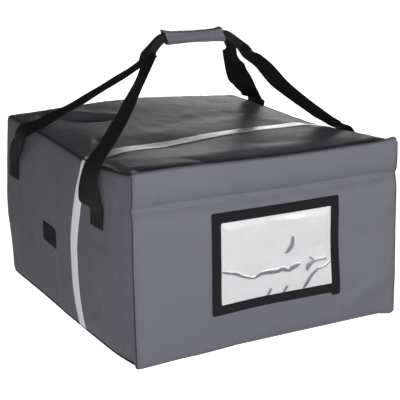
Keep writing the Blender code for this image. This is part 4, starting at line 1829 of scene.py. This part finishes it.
@dataclass
class Strap:
    """One webbing strap: sewn flat to both sides and folded in half inside the wrap."""

    form: BagForm
    dresses: Dresses
    shift: Vector
    way: StrapWay
    body: BVHTree
    width: float = 0.048
    thickness: float = STRAP_THICKNESS
    edge_round: float = STRAP_THICKNESS * 0.42
    end_inset: float = 0.003
    box_inset: float = 0.004
    box_depth: float = 0.022
    bulge: float = 0.014
    gather: float = 0.30
    least_fold: float = 0.02
    steps: int = 14
    cells_across: int = 14
    frames: list[tuple[float, Vector, Vector, Vector, float]] = field(default_factory=list)

    def build(self) -> None:
        """Builds and dresses the strap and the stitches of its ends."""
        self.lay_frames(self.smooth_run(self.rows()))
        length = self.frames[-1][0]
        middle = Vector((length / 2, 0, 0))
        mesh = rounded_slab((length, self.width, self.thickness), middle, self.edge_round, 2)
        cut_grid(mesh, 0, stops_between([frame[0] for frame in self.frames], 1.0)[1:-1])
        half = self.width / 2 - self.edge_round
        cut_grid(mesh, 1, stops_between((-half, half), self.width / self.cells_across)[1:-1])
        map_cloth(mesh, lambda face, point: (point.x, point.y))
        move_verts(mesh, self.bend)
        surface = BVHTree.FromBMesh(mesh)
        piece = finished(self.way.name, mesh, self.dresses.webbing, self.shift, 1)
        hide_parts(self.way.node)
        self.sew_ends(surface, length)

    def sew_ends(self, surface: BVHTree, length: float) -> None:
        """Sews a box with a cross through each end.

        Args:
            surface: The strap's surface.
            length: The strap's length.
        """
        stitches = bmesh.new()
        half = self.width / 2 - self.box_inset
        for near, step in ((self.end_inset, 1), (length - self.end_inset, -1)):
            far = near + step * self.box_depth
            corners = [(near, -half), (near, half), (far, half), (far, -half)]
            cross = [(corners[0], corners[2]), (corners[1], corners[3])]
            for start, end in closed_runs(corners) + cross:
                flat = line(Vector((*start, self.thickness)), Vector((*end, self.thickness)), 0.004)
                STRAP_THREAD.sew(stitches, [self.bend(point) for point in flat], surface)
        finished(f"{self.way.name}_stitches", stitches, self.dresses.black_thread_and_shade, self.shift)

    def seat(self, side: Side, station: Station) -> float:
        """How far out a sewn end lies, to rest on the highest cloth under it.

        Args:
            side: The side of the bag.
            station: The station.

        Returns:
            The strap's middle, out from the bag's middle.
        """
        reach = 0.0
        sign = side.value
        for share in (-0.5, -0.25, 0.0, 0.25, 0.5):
            start = Vector(
                (
                    sign * self.form.width,
                    station.along * self.form.half_depth + share * self.width,
                    station.of_bag * self.form.height,
                )
            )
            hit = self.body.ray_cast(start, Vector((-sign, 0, 0)))[0]
            reach = max(reach, sign * hit.x)
        return reach + self.form.clear + self.thickness / 2

    def foot_rows(self, side: Side) -> list[Row]:
        """Rows of the stretch that is sewn flat to a side, then bulges over its edge."""
        rows = []
        form = self.form
        sign = side.value
        stations = self.way.left_foot if side is Side.LEFT else self.way.right_foot
        edge = self.seat(side, stations[1])
        for index, station in enumerate(stations):
            sewn = index < 2
            out = self.seat(side, station) if sewn else edge + station.bulge * self.bulge
            place = Vector((sign * out, station.along * form.half_depth, station.of_bag * form.height))
            heading = Vector((0, 0, -sign)) if sewn else None
            rows.append(Row(place, -sign * station.roll, station.fold, heading))
        return rows

    def rise_rows(self, stations: Sequence[Station], side: Side) -> list[Row]:
        """Rows of the stretch that rises to the wrap."""
        rows = []
        for station in stations:
            place = Vector(
                (
                    side.value * station.across * self.form.half_width,
                    station.along * self.form.half_depth,
                    station.of_bag * self.form.height + station.of_rise * GRIP_RISE,
                )
            )
            rows.append(Row(place, station.roll, station.fold, None))
        return rows

    def rows(self) -> list[Row]:
        """All rows, from the left end to the right end."""
        grip = []
        for share in (-0.5, 0.5):
            x = GRIP_SHIFT + share * GRIP_LENGTH
            place = Vector((x, self.way.apart, self.form.height + GRIP_RISE))
            grip.append(Row(place, 0, 1.0, Vector((1, 0, 0))))
        rows = self.foot_rows(Side.LEFT) + self.rise_rows(self.way.left_rise, Side.LEFT) + grip
        rows += self.rise_rows(self.way.right_rise, Side.RIGHT)[::-1]
        return rows + self.foot_rows(Side.RIGHT)[::-1]

    def smooth_run(self, rows: Sequence[Row]) -> list[Row]:
        """Eases rows along a smooth curve that keeps to each heading where the webbing is held.

        Args:
            rows: The rows.

        Returns:
            Closer rows along the curve.
        """
        headings = []
        for index, row in enumerate(rows):
            before = rows[max(index - 1, 0)].place
            after = rows[min(index + 1, len(rows) - 1)].place
            headings.append(row.heading or (after - before).normalized())
        run = []
        for index, (start, end) in enumerate(zip(rows, rows[1:])):
            span = (end.place - start.place).length
            for step in range(self.steps):
                t = step / self.steps
                place = (2 * t**3 - 3 * t**2 + 1) * start.place + (3 * t**2 - 2 * t**3) * end.place
                place += (t**3 - 2 * t**2 + t) * span * headings[index]
                place += (t**3 - t**2) * span * headings[index + 1]
                share = ease(t)
                roll = start.roll + (end.roll - start.roll) * share
                run.append(Row(place, roll, start.fold + (end.fold - start.fold) * share, None))
        run.append(rows[-1])
        return run

    def lay_frames(self, run: Sequence[Row]) -> None:
        """Works out the length, place and directions at each row of the run."""
        gone = 0.0
        self.frames = []
        for index, row in enumerate(run):
            ahead = run[min(index + 1, len(run) - 1)].place
            behind = run[max(index - 1, 0)].place
            along = (ahead - behind).normalized()
            level = (Vector((0, 1, 0)) - along.y * along).normalized()
            over = along.cross(level)
            turn = math.radians(row.roll)
            wide = math.cos(turn) * level + math.sin(turn) * over
            if index:
                gone += (row.place - run[index - 1].place).length
            self.frames.append((gone, row.place, wide, along.cross(wide), row.fold))

    def section(self, across: float, out: float, fold: float) -> tuple[float, float]:
        """Where a point of the flat webbing lies once it is folded lengthwise.

        Args:
            across: Its place across the webbing.
            out: Its height over the webbing's middle.
            fold: From 0, flat, to 1, in half.

        Returns:
            Its place across and along the normal of the folded section.
        """
        arc = math.pi * FOLD_RADIUS
        angle = max(fold, self.least_fold) * math.pi
        radius = arc / angle
        gather = 1 - self.gather * ease((fold - 0.5) / 0.5)
        across *= gather
        spare = (self.width * gather - arc) / 2
        lowest = radius * (math.cos(angle / 2) - 1) - spare * math.sin(angle / 2)
        beyond = abs(across) - arc / 2
        if beyond <= 0:
            turn = across / radius
            base = (radius * math.sin(turn), radius * (math.cos(turn) - 1))
        else:
            sign = 1 if across > 0 else -1
            turn = sign * angle / 2
            base = (
                sign * (radius * math.sin(angle / 2) + beyond * math.cos(angle / 2)),
                radius * (math.cos(angle / 2) - 1) - beyond * math.sin(angle / 2),
            )
        return (base[0] + out * math.sin(turn), base[1] - lowest / 2 + out * math.cos(turn))

    def bend(self, point: Vector) -> Vector:
        """Where a point of the straight webbing lies along the run.

        Args:
            point: Its place along, across and over the webbing.

        Returns:
            Its place on the bag.
        """
        low = 0
        high = len(self.frames) - 1
        while high - low > 1:
            middle = (low + high) // 2
            if self.frames[middle][0] <= point.x:
                low = middle
            else:
                high = middle
        first = self.frames[low]
        second = self.frames[high]
        share = min(max((point.x - first[0]) / max(second[0] - first[0], 1e-9), 0.0), 1.0)
        fold = first[4] + (second[4] - first[4]) * share
        across, out = self.section(point.y, point.z, fold)
        wide = first[2].lerp(second[2], share).normalized()
        normal = first[3].lerp(second[3], share).normalized()
        return first[1].lerp(second[1], share) + wide * across + normal * out


@dataclass
class HandleWrap:
    """The cloth wrap round both straps."""

    form: BagForm
    dresses: Dresses
    shift: Vector
    wall: float = 0.0022
    flare: float = 0.0040
    lean: float = 0.0060
    squareness: float = 6.0
    half_thick: float = 0.0064
    half_high: float = 0.0092
    corners: int = 56
    ring_step: float = 0.0040
    cloth_radius: float = 0.014
    flare_power: int = 6
    under_flare: float = 0.4
    bow: float = 0.0012
    bow_width: float = 0.34
    rumple: float = 0.0005
    flatness: float = 0.94
    creases: tuple[Sway, ...] = (Sway(0.30, -0.0010), Sway(-0.45, -0.0012), Sway(-0.10, 0.0007))
    crease_width: float = 0.0018
    crease_wave: float = 0.0010
    hem: float = 0.005
    stitch_reach: float = 0.008

    def build(self) -> None:
        """Builds and dresses the wrap and its stitches."""
        mesh = bmesh.new()
        bmesh.ops.create_cone(
            mesh,
            cap_ends=False,
            segments=self.corners,
            radius1=1.0,
            radius2=1.0,
            depth=GRIP_LENGTH,
            matrix=Matrix.Rotation(math.pi / 2, 4, "Y"),
        )
        cut_grid(mesh, 0, stops_between((-GRIP_LENGTH / 2, GRIP_LENGTH / 2), self.ring_step)[1:-1])
        map_cloth(mesh, lambda face, point: (point.x, math.atan2(point.z, point.y) * self.cloth_radius))
        move_verts(mesh, self.wrapped)
        bmesh.ops.recalc_face_normals(mesh, faces=mesh.faces[:])
        mesh.normal_update()
        keep_normals(mesh)
        solid = layer_over(mesh, lambda face: True, -self.wall, 0.0, 0.0)
        mesh.free()
        surface = BVHTree.FromBMesh(solid)
        piece = finished("grip_wrap", solid, self.dresses.cloth, self.shift, 1)
        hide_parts("handle_wrap")
        stitches = bmesh.new()
        z = self.form.height + GRIP_RISE
        reach = Vector((-self.lean * 0.7, 0, self.stitch_reach))
        for end in (-1, 1):
            x = GRIP_SHIFT + end * (GRIP_LENGTH / 2 - self.hem)
            for y in (-0.03, 0.03):
                middle = Vector((x, y, z))
                GRIP_THREAD.sew(stitches, line(middle - reach, middle + reach, 0.003), surface)
        finished("grip_stitches", stitches, self.dresses.grey_thread, self.shift)

    def wrapped(self, point: Vector) -> Vector:
        """Where a point of a plain tube lies on the wrap.

        Args:
            point: Its place along the tube and on the unit circle.

        Returns:
            Its place on the slack, flared and creased wrap.
        """
        share = point.x / GRIP_LENGTH
        flare = self.flare * (2 * abs(share)) ** self.flare_power
        angle = math.atan2(point.z, point.y)
        c = math.cos(angle)
        s = math.sin(angle)
        squarish = (abs(c) ** self.squareness + abs(s) ** self.squareness) ** (-1 / self.squareness)
        y = c * squarish * (self.half_thick + self.wall)
        z = s * squarish * (self.half_high + self.wall)
        z += flare * max(s, 0.0) - self.under_flare * flare * max(-s, 0.0)
        crease = 0.0
        for at, height in self.creases:
            wave = self.crease_wave * math.sin(share * 7 + at)
            crease += height * bell(z - at * self.half_high - wave, self.crease_width)
        y += math.copysign(crease * min(abs(c) * 1.4, 1.0), y)
        bow = self.bow * bell(share, self.bow_width) * (max(-s, 0.0) - max(s, 0.0))
        rumple = self.rumple * noise.noise(Vector((share * 9, c * 2, s * 2)))
        return Vector(
            (
                GRIP_SHIFT + point.x - self.lean * s * min(1.0, 2 * abs(share)),
                y * (1 + rumple * 40),
                self.form.height + GRIP_RISE + z + bow + rumple,
            )
        )


@dataclass(frozen=True)
class Light:
    """A soft area light."""

    name: str
    place: Colour
    aim: Colour
    size: tuple[float, float]
    power: float
    tint: Colour = (1.0, 1.0, 1.0)

    def build(self) -> None:
        """Adds the light to the scene."""
        data = bpy.data.lights.new(self.name, "AREA")
        data.shape = "RECTANGLE"
        data.size = self.size[0]
        data.size_y = self.size[1]
        data.energy = self.power
        data.color = self.tint
        lamp = bpy.data.objects.new(self.name, data)
        lamp.location = self.place
        lamp.rotation_euler = (Vector(self.aim) - Vector(self.place)).to_track_quat("-Z", "Y").to_euler()
        bpy.context.scene.collection.objects.link(lamp)


@dataclass(frozen=True)
class Studio:
    """The plain studio: camera, lights, pale floor and surroundings."""

    eye: Colour = (-0.90993, -1.65967, 0.68898)
    azimuth: float = -29.157
    elevation: float = 15.080
    lens: float = 95.2
    surround: float = 0.10
    backdrop: float = 1.45
    floor_glow: float = 0.34
    floor_seen: float = 1.05
    lights: tuple[Light, ...] = (
        Light("key", (1.6, -2.7, 0.50), (0.0, -0.2, 0.15), (1.0, 0.6), 64.0),
        Light("back_low", (1.7, 2.6, 0.78), (0.1, 0.2, 0.30), (1.2, 0.4), 15.0),
        Light("front_left", (-1.02, -1.40, 0.36), (-0.28, -0.20, 0.14), (0.5, 0.4), 19.0),
    )

    def build(self) -> None:
        """Sets up the studio."""
        self.build_camera()
        for light in self.lights:
            light.build()
        self.build_floor()
        self.build_world()
        bpy.context.scene.view_settings.view_transform = "Standard"

    def build_camera(self) -> None:
        """Puts the camera where the photograph was taken from."""
        data = bpy.data.cameras.new("camera")
        data.lens = self.lens
        data.sensor_width = 36.0
        camera = bpy.data.objects.new("camera", data)
        camera.location = self.eye
        camera.rotation_euler = (math.radians(90 - self.elevation), 0, math.radians(self.azimuth))
        bpy.context.scene.collection.objects.link(camera)
        bpy.context.scene.camera = camera

    def build_floor(self) -> None:
        """Lays the pale floor."""
        made, tree, shader = new_material("pale_floor")
        tree.fill(
            shader,
            Base_Color=(0.86, 0.86, 0.86, 1),
            Roughness=0.8,
            Specular_IOR_Level=0.1,
            Emission_Color=(1, 1, 1, 1),
        )
        seen = tree.add("ShaderNodeLightPath").outputs["Is Camera Ray"]
        glow = tree.ranged(seen, 0.0, 1.0, self.floor_glow, self.floor_seen)
        tree.join(glow, shader.inputs["Emission Strength"])
        mesh = bmesh.new()
        bmesh.ops.create_grid(mesh, x_segments=2, y_segments=2, size=12.0)
        data = bpy.data.meshes.new("floor")
        mesh.to_mesh(data)
        mesh.free()
        data.materials.append(made)
        floor = bpy.data.objects.new("floor", data)
        bpy.context.scene.collection.objects.link(floor)

    def build_world(self) -> None:
        """Makes the plain surroundings: white to look at, softer as a light."""
        world = bpy.data.worlds.new("studio")
        bpy.context.scene.world = world
        world.use_nodes = True
        tree = NodeTree(world.node_tree)
        ground = world.node_tree.nodes["Background"]
        seen = tree.add("ShaderNodeLightPath").outputs["Is Camera Ray"]
        strength = tree.ranged(seen, 0.0, 1.0, self.surround, self.backdrop)
        ground.inputs["Color"].default_value = (1, 1, 1, 1)
        tree.join(strength, ground.inputs["Strength"])


FRONT_WAY = StrapWay(
    name="front_webbing",
    node="front_strap",
    left_foot=(
        Station(1.0, 0.0, -0.565, 0.645, 0.0, 0, 0.0),
        Station(1.0, 0.0, -0.565, 0.712, 0.0, 0, 0.0),
        Station(1.0, 1.0, -0.585, 0.800, 0.0, 22, 0.0),
        Station(1.0, 0.60, -0.570, 0.950, 0.0, 6, 0.0),
    ),
    right_foot=(
        Station(1.0, 0.0, -0.545, 0.645, 0.0, 0, 0.0),
        Station(1.0, 0.0, -0.545, 0.715, 0.0, 0, 0.0),
        Station(1.0, 0.35, -0.510, 0.825, 0.0, 0, 0.0),
        Station(1.0, 0.15, -0.435, 0.965, 0.0, 0, 0.0),
    ),
    left_rise=(
        Station(0.900, 0.0, -0.525, 1.0, 0.158, -4, 0.0),
        Station(0.634, 0.0, -0.306, 1.0, 0.467, -12, 0.0),
        Station(0.398, 0.0, -0.085, 1.0, 0.770, -15, 0.3),
        Station(0.305, 0.0, -0.026, 1.0, 0.905, 0, 1.0),
    ),
    right_rise=(
        Station(0.962, 0.0, -0.385, 1.0, 0.018, -10, 0.0),
        Station(0.850, 0.0, -0.365, 1.0, 0.125, -11, 0.0),
        Station(0.598, 0.0, -0.258, 1.0, 0.448, -13, 0.0),
        Station(0.488, 0.0, -0.125, 1.0, 0.700, -8, 0.0),
        Station(0.350, 0.0, -0.026, 1.0, 0.925, 0, 1.0),
    ),
    apart=-STRAP_APART,
)
BACK_WAY = StrapWay(
    name="back_webbing",
    node="back_strap",
    left_foot=(
        Station(1.0, 0.0, 0.825, 0.645, 0.0, 0, 0.0),
        Station(1.0, 0.0, 0.825, 0.750, 0.0, 0, 0.0),
        Station(1.0, 0.20, 0.750, 0.840, 0.0, -14, 0.0),
        Station(1.0, 0.20, 0.570, 0.960, 0.0, -6, 0.0),
    ),
    right_foot=(
        Station(1.0, 0.0, 0.825, 0.645, 0.0, 0, 0.0),
        Station(1.0, 0.0, 0.825, 0.750, 0.0, 0, 0.0),
        Station(1.0, 0.6, 0.810, 0.860, 0.0, -4, 0.0),
        Station(1.0, 0.4, 0.740, 0.985, 0.0, 0, 0.0),
    ),
    left_rise=(
        Station(0.920, 0.0, 0.460, 1.0, 0.070, 2, 0.0),
        Station(0.700, 0.0, 0.380, 1.0, 0.265, -6, 0.0),
        Station(0.571, 0.0, 0.270, 1.0, 0.430, -12, 0.0),
        Station(0.380, 0.0, 0.065, 1.0, 0.725, -14, 0.1),
        Station(0.298, 0.0, 0.026, 1.0, 0.895, 0, 1.0),
    ),
    right_rise=(
        Station(0.930, 0.0, 0.610, 1.0, 0.080, -6, 0.0),
        Station(0.739, 0.0, 0.420, 1.0, 0.265, -16, 0.0),
        Station(0.568, 0.0, 0.246, 1.0, 0.440, -30, 0.0),
        Station(0.418, 0.0, 0.096, 1.0, 0.690, -12, 0.0),
        Station(0.345, 0.0, 0.030, 1.0, 0.880, 0, 0.9),
    ),
    apart=STRAP_APART,
)


def main() -> None:
    """Builds the bag and its studio."""
    logging.basicConfig(level=logging.INFO)
    form = BagForm()
    dresses = Dresses.build()
    shift = frame_shift()
    body = PaddedBody(form, dresses, shift)
    body.build()
    FrontFlap(form, dresses, shift).build()
    for way in (FRONT_WAY, BACK_WAY):
        Strap(form, dresses, shift, way, body.tree).build()
    HandleWrap(form, dresses, shift).build()
    body.skin.free()
    Studio().build()


if __name__ == "__main__":
    main()
